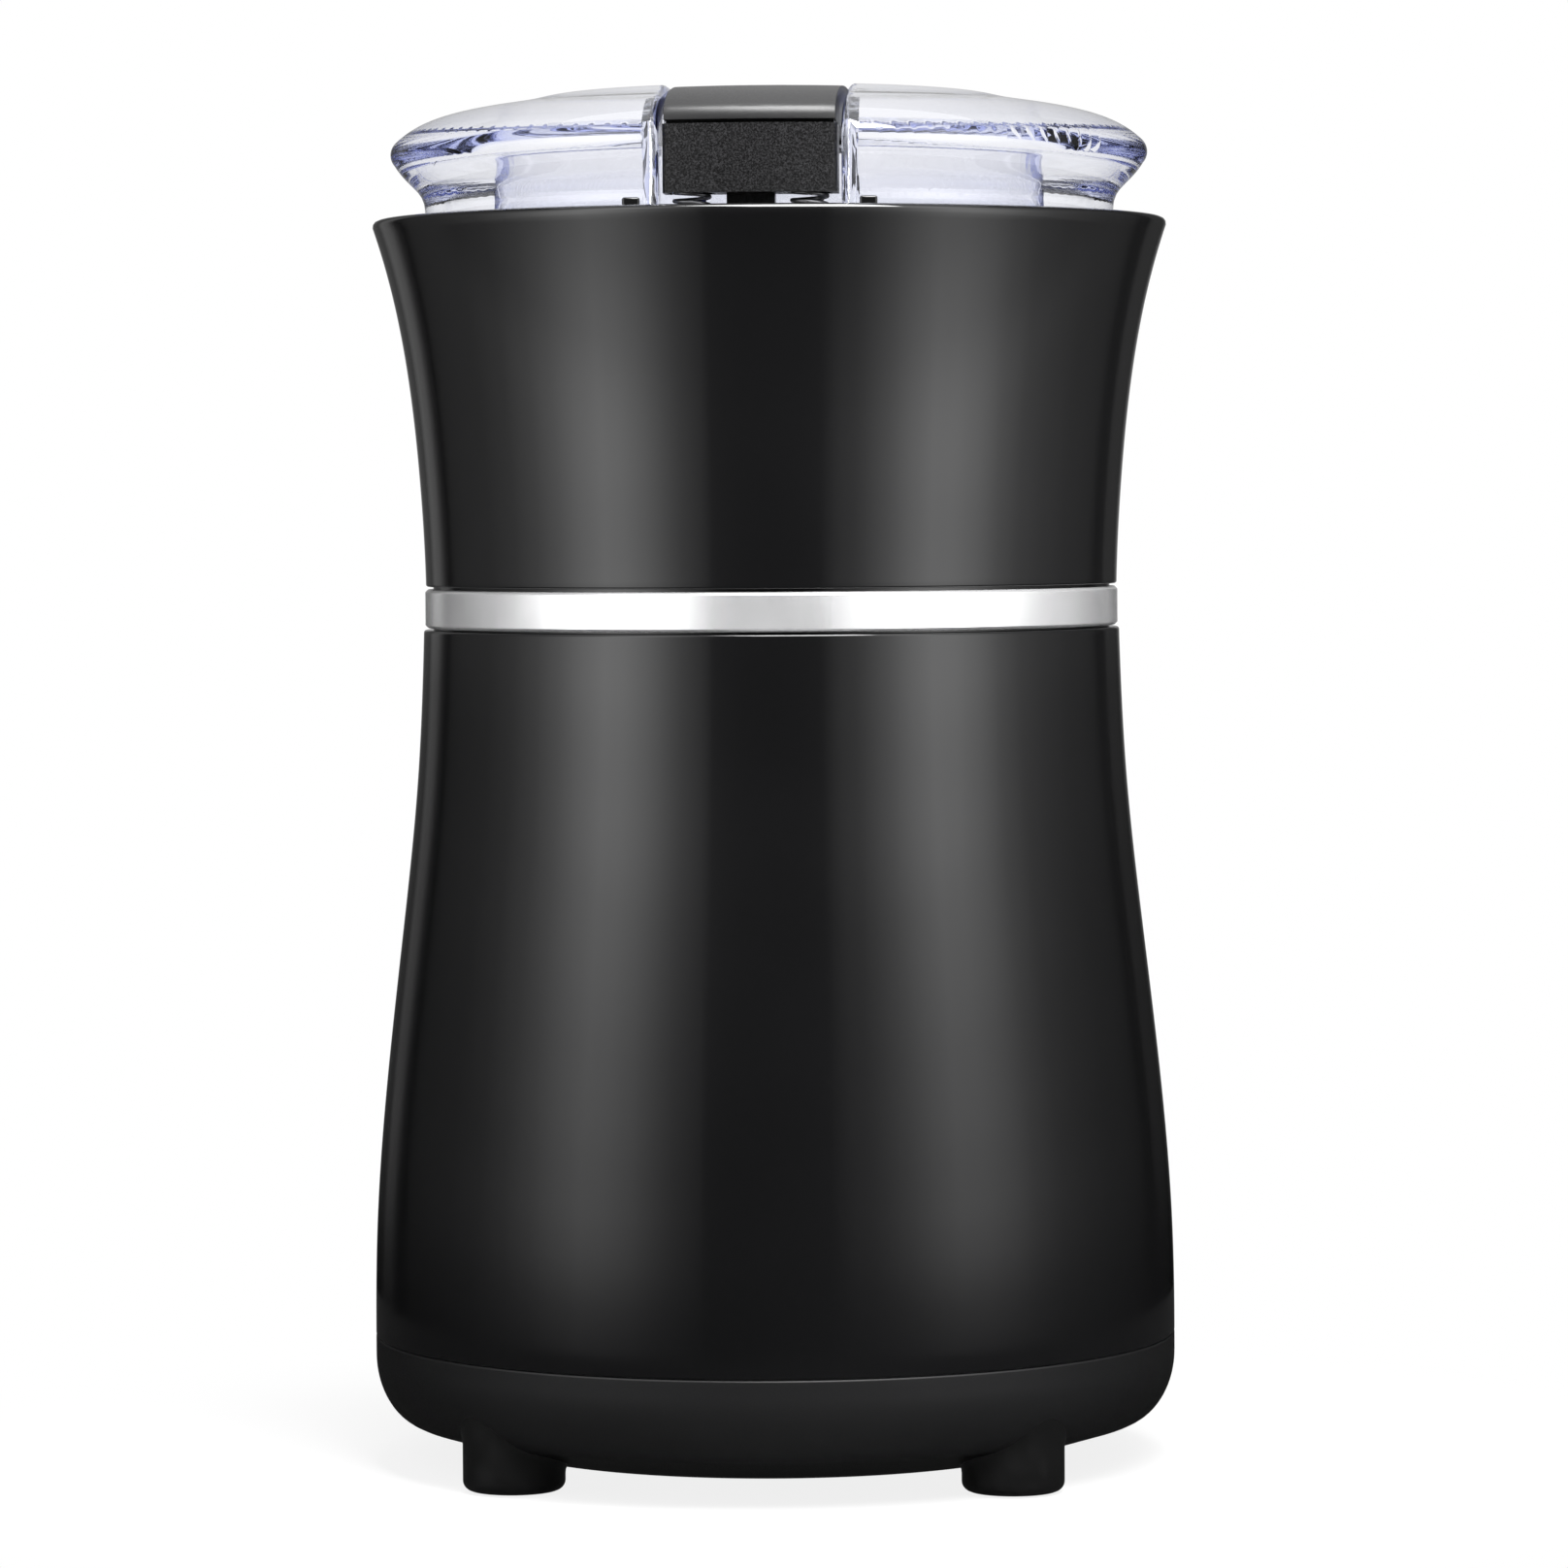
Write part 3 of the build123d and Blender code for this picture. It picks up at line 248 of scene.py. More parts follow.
def turned_at(shape, outline, steps, radius, angles):
    """Adds the outline turned about a vertical axis at a radius and each of some angles in degrees."""
    for angle in angles:
        turned_shape(shape, outline, steps, at(*on_circle(radius, angle)))


def turned(name, outline, steps, place=Matrix.Identity(4)):
    """Object of revolution about the Z axis of a place."""
    shape = bmesh.new()
    turned_shape(shape, outline, steps, place)
    return from_bmesh(name, shape)


def box_shape(shape, x_span, y_span, z_span):
    """Adds a box given by its ends to a bmesh."""
    spots = [shape.verts.new((x, y, z)) for x in x_span for y in y_span for z in z_span]
    for face in ((0, 1, 3, 2), (4, 6, 7, 5), (0, 4, 5, 1), (2, 3, 7, 6), (0, 2, 6, 4), (1, 5, 7, 3)):
        shape.faces.new([spots[k] for k in face])


def added_turned(shape, part, angle):
    """Moves a small bmesh into another one, turned about Z by an angle in degrees."""
    bmesh.ops.rotate(part, verts=part.verts, matrix=Matrix.Rotation(radians(angle), 3, "Z"))
    copy = bpy.data.meshes.new("part")
    part.to_mesh(copy)
    part.free()
    shape.from_mesh(copy)
    bpy.data.meshes.remove(copy)


def arc(middle, radius, first, last, step):
    """Points of an arc about a middle, from one angle in degrees to another."""
    x, y = middle
    turns = range(first, last + (1 if step > 0 else -1), step)
    return [(x + radius * cos(radians(turn)), y + radius * sin(radians(turn))) for turn in turns]


def rod_outline(radius, bottom, top):
    """Outline of a plain cylinder."""
    return [(0, bottom), (radius, bottom), (radius, top), (0, top)]


def at(x, y, z=0.0):
    """Place moved by millimetres."""
    return Matrix.Translation((x, y, z))


def along_y(x, z):
    """Place whose Z axis points to the rear, +Y."""
    return Matrix.Translation((x, 0, z)) @ Matrix.Rotation(-pi / 2, 4, "X")


def on_circle(radius, angle):
    """Point at a radius and an angle in degrees from +X."""
    return radius * cos(radians(angle)), radius * sin(radians(angle))


def settled(piece):
    """Turns a piece with its modifiers into a plain mesh."""
    graph = bpy.context.evaluated_depsgraph_get()
    mesh = bpy.data.meshes.new_from_object(piece.evaluated_get(graph))
    piece.modifiers.clear()
    piece.data = mesh
    mesh.name = piece.name
    return piece


def combined(piece, other, operation):
    """Joins or cuts a piece with a second closed object, which is then removed."""
    modifier = piece.modifiers.new("shape", "BOOLEAN")
    modifier.operation = operation
    modifier.solver = "EXACT"
    modifier.object = other
    settled(piece)
    bpy.data.objects.remove(other)
    return piece


def bevelled(piece, width, segments=3, angle=35):
    """Rounds the hard edges of a piece."""
    modifier = piece.modifiers.new("edges", "BEVEL")
    modifier.width = width * MM
    modifier.segments = segments
    modifier.limit_method = "ANGLE"
    modifier.angle_limit = radians(angle)
    return settled(piece)


def smoothed(piece, angle):
    """Smooth shading with hard edges above an angle in degrees."""
    for polygon in piece.data.polygons:
        polygon.use_smooth = True
    piece.data.set_sharp_from_angle(angle=radians(angle))
    return piece


def shaded(piece, angle):
    """Smooth shading whose directions follow the larger faces."""
    smoothed(piece, angle).modifiers.new("shading", "WEIGHTED_NORMAL").keep_sharp = True
    return settled(piece)


def seated(piece, node, angle=32, body=None):
    """Finishes a piece that stands for a CAD node and rides the node's body or another one."""
    if angle:
        shaded(piece, angle)
    slot = SLOT_OF[node]
    piece.data.materials.clear()
    piece.data.materials.append(finish(slot))
    for polygon in piece.data.polygons:
        polygon.material_index = 0
    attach(piece, body or BODY_OF[node])
    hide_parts(node)
    return piece


def softened(name, node, width, segments=2):
    """Piece like a CAD node with its hard edges rounded."""
    shape = bmesh.new()
    shape.from_mesh(frame["nodes"][node].data)
    bmesh.ops.remove_doubles(shape, verts=shape.verts, dist=2e-6)
    bmesh.ops.dissolve_limit(shape, angle_limit=radians(0.6), verts=shape.verts, edges=shape.edges)
    return bevelled(kept(name, shape), width, segments, 30)


# ---- shader helpers -------------------------------------------------------
def add_node(tree, kind, **values):
    """Adds a node with its plain settings."""
    made = tree.nodes.new(kind)
    for key, value in values.items():
        setattr(made, key, value)
    return made


def feed(tree, target, source):
    """Links an output to an input, or sets a plain value on it."""
    if isinstance(source, bpy.types.NodeSocket):
        tree.links.new(source, target)
    else:
        target.default_value = source


def wired(tree, kind, **inputs):
    """Adds a node, feeds its inputs by name, with underscores for spaces, and returns its outputs."""
    made = tree.nodes.new(kind)
    for label, source in inputs.items():
        feed(tree, made.inputs[label.replace("_", " ")], source)
    return made.outputs


def maths(tree, operation, first, second=0.0, third=0.0, clamp=False):
    """Math node of a shader or geometry tree, with its inputs linked or set."""
    made = add_node(tree, "ShaderNodeMath", operation=operation, use_clamp=clamp)
    for target, source in zip(made.inputs, (first, second, third)):
        feed(tree, target, source)
    return made.outputs[0]


def stepped(tree, value, low, high, to_low=0.0, to_high=1.0, smooth=True):
    """Maps a value from one range to another, clamped."""
    made = add_node(tree, "ShaderNodeMapRange", interpolation_type="SMOOTHSTEP" if smooth else "LINEAR")
    for target, source in zip(made.inputs, (value, low, high, to_low, to_high)):
        feed(tree, target, source)
    return made.outputs[0]


def product(tree, *factors):
    """Product of several values."""
    result = factors[0]
    for factor in factors[1:]:
        result = maths(tree, "MULTIPLY", result, factor)
    return result


def total(tree, *terms):
    """Sum of several values."""
    result = terms[0]
    for term in terms[1:]:
        result = maths(tree, "ADD", result, term)
    return result


def hypotenuse(tree, first, second):
    """Length of the longest side over two legs."""
    squares = total(tree, maths(tree, "POWER", first, 2.0), maths(tree, "POWER", second, 2.0))
    return maths(tree, "SQRT", squares)


def parts_of(tree, vector):
    """X, Y and Z of a vector."""
    made = add_node(tree, "ShaderNodeSeparateXYZ")
    feed(tree, made.inputs[0], vector)
    return made.outputs


def patches(tree, scale, detail, low=0.3, high=0.7, roughness=0.5):
    """Soft patches on the surface, as a mask."""
    return stepped(tree, noise(tree, object_point(tree), scale, detail, roughness), low, high)


def shade_of(colour, share):
    """Colour made darker or brighter by a share."""
    return tuple(min(1.0, channel * share) for channel in colour)


def blend_colour(tree, factor, first, second):
    """Mixes two colours by a factor."""
    made = add_node(tree, "ShaderNodeMix", data_type="RGBA")
    feed(tree, made.inputs[0], factor)
    for target, source in ((made.inputs[6], first), (made.inputs[7], second)):
        feed(tree, target, (*source, 1.0) if isinstance(source, tuple) and len(source) == 3 else source)
    return made.outputs[2]


def noise(tree, vector, scale, detail=3.0, roughness=0.5):
    """Noise value at a scale in cells per metre."""
    values = {"Vector": vector, "Scale": scale, "Detail": detail, "Roughness": roughness}
    return wired(tree, "ShaderNodeTexNoise", **values)[0]


def group_tree(name, inputs, outputs):
    """Shader node group with named float inputs and outputs, and its input and output nodes."""
    tree = bpy.data.node_groups.new(name, "ShaderNodeTree")
    for label, default in inputs:
        socket = tree.interface.new_socket(label, in_out="INPUT", socket_type="NodeSocketFloat")
        socket.default_value = default
    for label in outputs:
        tree.interface.new_socket(label, in_out="OUTPUT", socket_type="NodeSocketFloat")
    return tree, tree.nodes.new("NodeGroupInput"), tree.nodes.new("NodeGroupOutput")


def object_point(tree):
    """Object coordinates."""
    return add_node(tree, "ShaderNodeTexCoord").outputs["Object"]


def surface_grain_group():
    """Fine moulded grain: a height for bump and a mask of its tiny flats."""
    inputs = [("Cells per metre", 2500), ("Softness", 0.5)]
    tree, start, end = group_tree("Moulded grain", inputs, ["Height", "Flats"])
    point = object_point(tree)
    cells = add_node(tree, "ShaderNodeTexVoronoi", feature="SMOOTH_F1")
    feed(tree, cells.inputs["Vector"], point)
    feed(tree, cells.inputs["Scale"], start.outputs[0])
    feed(tree, cells.inputs["Smoothness"], start.outputs[1])
    fine = noise(tree, point, maths(tree, "MULTIPLY", start.outputs[0], 1.3), 5.0, 0.75)
    height = maths(tree, "MULTIPLY_ADD", cells.outputs["Distance"], 0.35, fine)
    feed(tree, end.inputs[0], height)
    feed(tree, end.inputs[1], stepped(tree, fine, 0.44, 0.62))
    return tree


def settled_dust_group():
    """Faint specks and smears that gather on upward faces."""
    tree, start, end = group_tree("Settled dust", [("Cells per metre", 900), ("Amount", 0.1)], ["Mask"])
    point = object_point(tree)
    upward = parts_of(tree, add_node(tree, "ShaderNodeNewGeometry").outputs["Normal"])[2]
    specks = stepped(tree, noise(tree, point, start.outputs[0], 5.0, 0.7), 0.6, 0.78)
    cloud = stepped(tree, noise(tree, point, 45.0, 2.0), 0.35, 0.75)
    lying = stepped(tree, upward, -0.2, 0.9, 0.25, 1.0)
    feed(tree, end.inputs[0], product(tree, specks, cloud, lying, start.outputs[1]))
    return tree


def spun_lines_group():
    """Fine circles about the Z axis, as on a spun or turned part."""
    inputs = [("Lines per metre", 3000), ("Waver", 0.15)]
    tree, start, end = group_tree("Spun lines", inputs, ["Height", "Tone"])
    x, y, z = parts_of(tree, object_point(tree))
    spot = wired(
        tree, "ShaderNodeCombineXYZ",
        X=product(tree, hypotenuse(tree, x, y), start.outputs[0]), Y=product(tree, z, start.outputs[0]),
        Z=product(tree, maths(tree, "ARCTAN2", y, x), start.outputs[1]),
    )[0]
    feed(tree, end.inputs[0], noise(tree, spot, 1.0, 3.0, 0.65))
    feed(tree, end.inputs[1], noise(tree, spot, 0.12, 2.0))
    return tree


def random_tone(tree, count):
    """One random value for each whole number of a count."""
    shade = add_node(tree, "ShaderNodeTexWhiteNoise", noise_dimensions="1D")
    feed(tree, shade.inputs["W"], maths(tree, "FLOOR", count))
    return shade.outputs["Value"]


def stacked_sheets_group():
    """Edges of thin sheets stacked along Z."""
    tree, start, end = group_tree("Stacked sheets", [("Sheets per metre", 2000)], ["Height", "Tone"])
    count = product(tree, parts_of(tree, object_point(tree))[2], start.outputs[0])
    feed(tree, end.inputs[0], stepped(tree, maths(tree, "PINGPONG", count, 0.5), 0.02, 0.2))
    feed(tree, end.inputs[1], random_tone(tree, count))
    return tree


def wound_wire_group():
    """Round wires laid side by side round a coil former that stands across Y."""
    inputs = [("Wires per metre", 1400), ("Half width", 0.0105)]
    inputs += [("Half height", 0.0165), ("Middle height", 0.057)]
    tree, start, end = group_tree("Wound wire", inputs, ["Height", "Tone"])
    wires_per_metre, half_width, half_height, middle = start.outputs[:4]
    x, y, z = parts_of(tree, object_point(tree))
    height = maths(tree, "ABSOLUTE", maths(tree, "SUBTRACT", z, middle))
    over_x = maths(tree, "MAXIMUM", maths(tree, "SUBTRACT", maths(tree, "ABSOLUTE", x), half_width), 0.0)
    over_z = maths(tree, "MAXIMUM", maths(tree, "SUBTRACT", height, half_height), 0.0)
    count = product(tree, total(tree, hypotenuse(tree, over_x, over_z), y), wires_per_metre)
    wave = maths(tree, "PINGPONG", count, 0.5)
    feed(tree, end.inputs[0], maths(tree, "SQRT", product(tree, wave, 2.0)))
    feed(tree, end.inputs[1], random_tone(tree, count))
    return tree


GROUP_MAKERS = {
    "Moulded grain": surface_grain_group,
    "Settled dust": settled_dust_group,
    "Spun lines": spun_lines_group,
    "Stacked sheets": stacked_sheets_group,
    "Wound wire": wound_wire_group,
}


def shared(tree, name, *values):
    """Places a shared effect in a material with its own values."""
    group = bpy.data.node_groups.get(name) or GROUP_MAKERS[name]()
    made = tree.nodes.new("ShaderNodeGroup")
    made.node_tree = group
    for target, value in zip(made.inputs, values):
        target.default_value = value
    return made.outputs


def shader(name, **plain):
    """New material: its tree and its Principled shader, with plain values set on the shader's own sockets."""
    material = bpy.data.materials.new(name)
    material.use_nodes = True
    tree = material.node_tree
    principled = tree.nodes["Principled BSDF"]
    for label, value in plain.items():
        principled.inputs[label.replace("_", " ")].default_value = value
    return material, tree, principled


def painted(tree, principled, colour, roughness):
    """Feeds a surface colour and a roughness to the shader."""
    feed(tree, principled.inputs["Base Color"], colour)
    feed(tree, principled.inputs["Roughness"], roughness)


def bump(tree, principled, height, strength, distance):
    """Feeds a height to the shader's normal; distance in millimetres."""
    made = wired(tree, "ShaderNodeBump", Strength=strength, Distance=distance * MM, Height=height)
    feed(tree, principled.inputs["Normal"], made[0])


# ---- finishes -------------------------------------------------------------
CASING_DUST = (0.30, 0.29, 0.28)
GRAIN_DUST = (0.32, 0.31, 0.30)


def gloss_black_plastic(name):
    """Polished black casing: deep colour, faint ripple in the gloss, a trace of dust."""
    look = bpy.context.scene.grinder_colours
    material, tree, principled = shader(name, IOR=1.5)
    dust = shared(tree, "Settled dust", 1400, 0.05)[0]
    colour = blend_colour(tree, patches(tree, 26.0, 3.0), shade_of(look.casing, 0.8), tuple(look.casing))
    rough = look.casing_roughness
    sheen = noise(tree, object_point(tree), 60.0, 4.0)
    sheen = stepped(tree, sheen, 0.3, 0.75, rough * 0.85, rough * 1.25)
    dull = total(tree, sheen, product(tree, dust, 0.8))
    painted(tree, principled, blend_colour(tree, dust, colour, CASING_DUST), dull)
    bump(tree, principled, noise(tree, object_point(tree), 120.0, 1.0), 0.05, 0.02)
    return material


def grained_plastic(name, colour, roughness, cells, depth, painted_glint, height_strength, gloss=0.5):
    """Moulded plastic with a fine grain; its tiny flats are painted brighter, a painted glint of light caught
    on them.
    """
    material, tree, principled = shader(name, IOR=1.5, Specular_IOR_Level=gloss)
    height, flats = shared(tree, "Moulded grain", cells, 0.5)
    dust = shared(tree, "Settled dust", 1100, 0.06)[0]
    plain = blend_colour(tree, patches(tree, 40.0, 3.0), shade_of(colour, 0.82), tuple(colour))
    # painted glint: the grain's tiny flats get a brighter colour that stands in for light caught on them
    grain = blend_colour(tree, flats, plain, shade_of(colour, painted_glint))
    rough = stepped(tree, flats, 0.0, 1.0, roughness, roughness * 0.72)
    painted(tree, principled, blend_colour(tree, dust, grain, GRAIN_DUST), rough)
    bump(tree, principled, height, height_strength, depth)
    return material


def clear_plastic(name):
    """Clear moulded lid with a trace of blue in its thick parts."""
    look = bpy.context.scene.grinder_colours
    material, tree, principled = shader(name, IOR=1.54, Transmission_Weight=1.0, Metallic=0.0)
    marks = stepped(tree, noise(tree, object_point(tree), 700.0, 5.0, 0.7), 0.62, 0.8, 0.0, 0.05)
    colour = blend_colour(tree, patches(tree, 30.0, 2.0), (0.985, 0.988, 1.0), (1.0, 1.0, 1.0))
    painted(tree, principled, colour, total(tree, marks, 0.012))
    bump(tree, principled, noise(tree, object_point(tree), 90.0, 1.5), 0.10, 0.06)
    volume = add_node(tree, "ShaderNodeVolumeAbsorption")
    volume.inputs["Color"].default_value = (*look.lid_tint, 1.0)
    volume.inputs["Density"].default_value = look.lid_tint_density
    feed(tree, tree.nodes["Material Output"].inputs["Volume"], volume.outputs[0])
    return material


def chrome_trim(name):
    """Bright plated band with a soft polish."""
    look = bpy.context.scene.grinder_colours
    material, tree, principled = shader(name, Metallic=0.8)
    smear = patches(tree, 160.0, 4.0, 0.3, 0.75)
    colour = blend_colour(tree, smear, shade_of(look.band, 0.93), tuple(look.band))
    painted(tree, principled, colour, maths(tree, "MULTIPLY_ADD", smear, 0.03, look.band_roughness))
    bump(tree, principled, shared(tree, "Spun lines", 2600, 0.6)[0], 0.06, 0.01)
    return material


def metal(name, colour, roughness, lines_per_metre, depth, stain=(0.5, 0.5, 0.5), stain_amount=0.12):
    """Worked steel or brass with fine turned lines and faint handling marks."""
    material, tree, principled = shader(name, Metallic=1.0)
    height, tone = shared(tree, "Spun lines", lines_per_metre, 0.35)
    marks = stepped(tree, noise(tree, object_point(tree), 220.0, 5.0, 0.6), 0.52, 0.75, 0.0, stain_amount)
    base = blend_colour(tree, tone, shade_of(colour, 0.86), tuple(colour))
    spread = stepped(tree, height, 0.3, 0.7, roughness * 0.8, roughness * 1.25)
    rough = total(tree, spread, product(tree, marks, 0.6))
    painted(tree, principled, blend_colour(tree, marks, base, stain), rough)
    bump(tree, principled, height, 0.25, depth)
    return material


def mottled(name, spots, dark, pale, rough, relief, depth, grain=None, **plain):
    """Plain stuff whose soft spots change its colour and gloss; its relief is the spots or a finer grain."""
    material, tree, principled = shader(name, **plain)
    mask = patches(tree, *spots)
    painted(tree, principled, blend_colour(tree, mask, dark, pale), stepped(tree, mask, 0.0, 1.0, *rough))
    bump(tree, principled, noise(tree, object_point(tree), *grain) if grain else mask, relief, depth)
    return material


def bronze_bush(name):
    """Oil-soaked sintered bronze with its pores."""
    pores = (3800.0, 4.0, 0.42, 0.62, 0.7)
    return mottled(name, pores, (0.20, 0.12, 0.05), (0.58, 0.39, 0.20), (0.7, 0.4), 0.4, 0.02, Metallic=0.85)


def phenolic(name):
    """Brown phenolic sheet with its paper fibre."""
    fibre = (900.0, 5.0, 0.35, 0.7, 0.7)
    return mottled(name, fibre, (0.20, 0.075, 0.03), (0.38, 0.17, 0.08), (0.3, 0.5), 0.3, 0.02, IOR=1.55)


def carbon(name):
    """Pressed carbon brush with its grit."""
    grit = (4200.0, 5.0, 0.4, 0.68, 0.75)
    dark, pale = (0.022, 0.022, 0.025), (0.10, 0.10, 0.11)
    return mottled(name, grit, dark, pale, (0.62, 0.35), 0.4, 0.03, Metallic=0.2)


def rubber(name, colour, roughness):
    """Moulded rubber with a soft sheen and a pale bloom."""
    pale = tuple(min(1.0, channel * 1.15 + 0.001) for channel in colour)
    rough = (roughness * 0.8, roughness * 1.2)
    spots, grain = (320.0, 4.0, 0.3, 0.8), (2600.0, 3.0)
    return mottled(name, spots, shade_of(colour, 0.9), pale, rough, 0.3, 0.02, grain, IOR=1.5)


def insulation(name, colour):
    """Wire insulation with drawing lines and a soft waxy gloss."""
    spots, grain = (400.0, 3.0, 0.35, 0.7), (1500.0, 2.0)
    return mottled(name, spots, shade_of(colour, 0.75), colour, (0.32, 0.5), 0.2, 0.02, grain, IOR=1.5)


def lamination_steel(name):
    """Stacked sheet steel under brown varnish."""
    material, tree, principled = shader(name, Metallic=0.7)
    height, tone = shared(tree, "Stacked sheets", 2000)
    varnish = patches(tree, 150.0, 4.0, 0.4, 0.7)
    sheet = blend_colour(tree, tone, (0.15, 0.15, 0.165), (0.29, 0.29, 0.30))
    colour = blend_colour(tree, product(tree, varnish, 0.5), sheet, (0.12, 0.07, 0.035))
    painted(tree, principled, colour, stepped(tree, varnish, 0.0, 1.0, 0.5, 0.3))
    bump(tree, principled, height, 0.6, 0.05)
    return material


def copper_winding(name):
    """Enamelled copper wire, varnished in its slots."""
    material, tree, principled = shader(name, Metallic=0.85)
    height, tone = shared(tree, "Wound wire", 1500, 0.0105, 0.0165, 0.057)
    pooled = patches(tree, 180.0, 4.0, 0.48, 0.72)
    wire = blend_colour(tree, tone, (0.62, 0.24, 0.10), (0.86, 0.42, 0.20))
    colour = blend_colour(tree, product(tree, pooled, 0.6), wire, (0.30, 0.10, 0.04))
    painted(tree, principled, colour, stepped(tree, pooled, 0.0, 1.0, 0.34, 0.2))
    bump(tree, principled, height, 0.8, 0.12)
    return material


def finish_makers():
    """What makes each finish, by slot: a function and its values after the name."""
    look = bpy.context.scene.grinder_colours
    return {
        "gloss_black_plastic": (gloss_black_plastic,),
        "clear_plastic": (clear_plastic,),
        "chrome_trim": (chrome_trim,),
        "lamination_steel": (lamination_steel,),
        "copper_winding": (copper_winding,),
        # colour, roughness, cells per metre, grain depth in mm, painted glint (brightening of the grain's
        # flats), bump strength, gloss
        "satin_black_plastic": (grained_plastic, look.satin, 0.46, 5200, 0.012, 1.35, 0.35, 0.36),
        "textured_black_plastic": (grained_plastic, look.key, 0.33, 3200, 0.05, 9.0, 0.8, 0.11),
        "nylon_white": (grained_plastic, (0.84, 0.83, 0.78), 0.42, 2200, 0.015, 1.06, 0.3),
        "switch_case": (grained_plastic, (0.030, 0.030, 0.034), 0.4, 3000, 0.015, 1.5, 0.4),
        "switch_red": (grained_plastic, (0.60, 0.04, 0.03), 0.35, 3000, 0.01, 1.15, 0.3),
        # colour, roughness, lines per metre, line depth in mm, colour and strength of the stain
        "stainless_steel": (metal, look.steel, 0.24, 3200, 0.012),
        "bright_steel": (metal, (0.62, 0.62, 0.61), 0.18, 5200, 0.004),
        "zinc_steel": (metal, (0.66, 0.68, 0.72), 0.3, 1800, 0.006, (0.72, 0.66, 0.45), 0.35),
        "spring_steel": (metal, (0.16, 0.16, 0.17), 0.35, 7000, 0.003),
        "brass": (metal, (0.80, 0.58, 0.24), 0.28, 2200, 0.006, (0.42, 0.27, 0.12), 0.35),
        "bronze_bush": (bronze_bush,),
        "phenolic": (phenolic,),
        "carbon": (carbon,),
        "black_rubber": (rubber, look.rubber, 0.22),
        "seal_rubber": (rubber, (0.36, 0.10, 0.06), 0.45),
        "lead_brown": (insulation, (0.25, 0.09, 0.035)),
        "lead_blue": (insulation, (0.03, 0.17, 0.50)),
        "lead_black": (insulation, (0.02, 0.02, 0.021)),
    }


FINISHES = {}


def finish(slot):
    """Finish of a material slot, made once."""
    if slot not in FINISHES:
        maker, *values = finish_makers()[slot]
        FINISHES[slot] = maker(slot, *values)
    return FINISHES[slot]


# ---- geometry node trees --------------------------------------------------
def geometry_tree(name, inputs):
    """Geometry node tree with named inputs, as (label, socket type, default)."""
    tree = bpy.data.node_groups.new(name, "GeometryNodeTree")
    tree.interface.new_socket("Geometry", in_out="INPUT", socket_type="NodeSocketGeometry")
    for label, kind, default in inputs:
        socket = tree.interface.new_socket(label, in_out="INPUT", socket_type=kind)
        if default is not None:
            socket.default_value = default
    tree.interface.new_socket("Geometry", in_out="OUTPUT", socket_type="NodeSocketGeometry")
    return tree, tree.nodes.new("NodeGroupInput").outputs, tree.nodes.new("NodeGroupOutput").inputs


def finished_geometry(tree, geometry, material, end):
    """Ends a tree in Realize Instances and Set Material."""
    real = wired(tree, "GeometryNodeRealizeInstances", Geometry=geometry)[0]
    feed(tree, end, wired(tree, "GeometryNodeSetMaterial", Geometry=real, Material=material)[0])


def coil_spring_tree():
    """Round-wire spring whose end coils lie flat."""
    tree, start, end = geometry_tree("Coil spring", [
        ("Mean radius", "NodeSocketFloat", 0.0027), ("Wire radius", "NodeSocketFloat", 0.0003),
        ("Bottom", "NodeSocketFloat", 0.0), ("Top", "NodeSocketFloat", 0.01),
        ("Turns", "NodeSocketFloat", 6.0), ("Material", "NodeSocketMaterial", None),
    ])
    radius, wire, bottom, top, turns, material = (start[k] for k in range(1, 7))
    spiral = wired(
        tree, "GeometryNodeCurveSpiral",
        Resolution=40, Height=0.0, Rotations=turns, Start_Radius=radius, End_Radius=radius,
    )[0]
    along = product(tree, wired(tree, "GeometryNodeSplineParameter")["Factor"], turns)
    thick = product(tree, wire, 2.05)
    rise = maths(tree, "SUBTRACT", maths(tree, "SUBTRACT", top, bottom), product(tree, wire, 6.1))
    last = maths(tree, "SUBTRACT", turns, 1.0)
    first_coil = stepped(tree, along, 0.0, 1.0, 0.0, thick, smooth=False)
    open_coils = stepped(tree, along, 1.0, last, 0.0, rise, smooth=False)
    last_coil = stepped(tree, along, last, turns, 0.0, thick, smooth=False)
    height = total(tree, bottom, wire, first_coil, open_coils, last_coil)
    offset = wired(tree, "ShaderNodeCombineXYZ", Z=height)[0]
    lifted = wired(tree, "GeometryNodeSetPosition", Geometry=spiral, Offset=offset)[0]
    section = wired(tree, "GeometryNodeCurvePrimitiveCircle", Resolution=14, Radius=wire)[0]
    tube = wired(tree, "GeometryNodeCurveToMesh", Curve=lifted, Profile_Curve=section, Fill_Caps=True)[0]
    finished_geometry(tree, tube, material, end[0])
    return tree


def copies_tree():
    """Copies of one shape on the points of a mesh, turned by each point's angle."""
    tree, start, end = geometry_tree("Copies on points", [
        ("Shape", "NodeSocketObject", None), ("Size", "NodeSocketFloat", 1.0),
        ("Material", "NodeSocketMaterial", None),
    ])
    points, shape, size, material = (start[k] for k in range(4))
    shape = wired(tree, "GeometryNodeObjectInfo", Object=shape)["Geometry"]
    turn = wired(tree, "GeometryNodeInputNamedAttribute", Name="turn")["Attribute"]
    rotation = wired(tree, "ShaderNodeCombineXYZ", Z=turn)[0]
    placed = wired(
        tree, "GeometryNodeInstanceOnPoints", Points=points, Instance=shape, Rotation=rotation, Scale=size,
    )[0]
    finished_geometry(tree, placed, material, end[0])
    return tree


TREE_MAKERS = {"Coil spring": coil_spring_tree, "Copies on points": copies_tree}


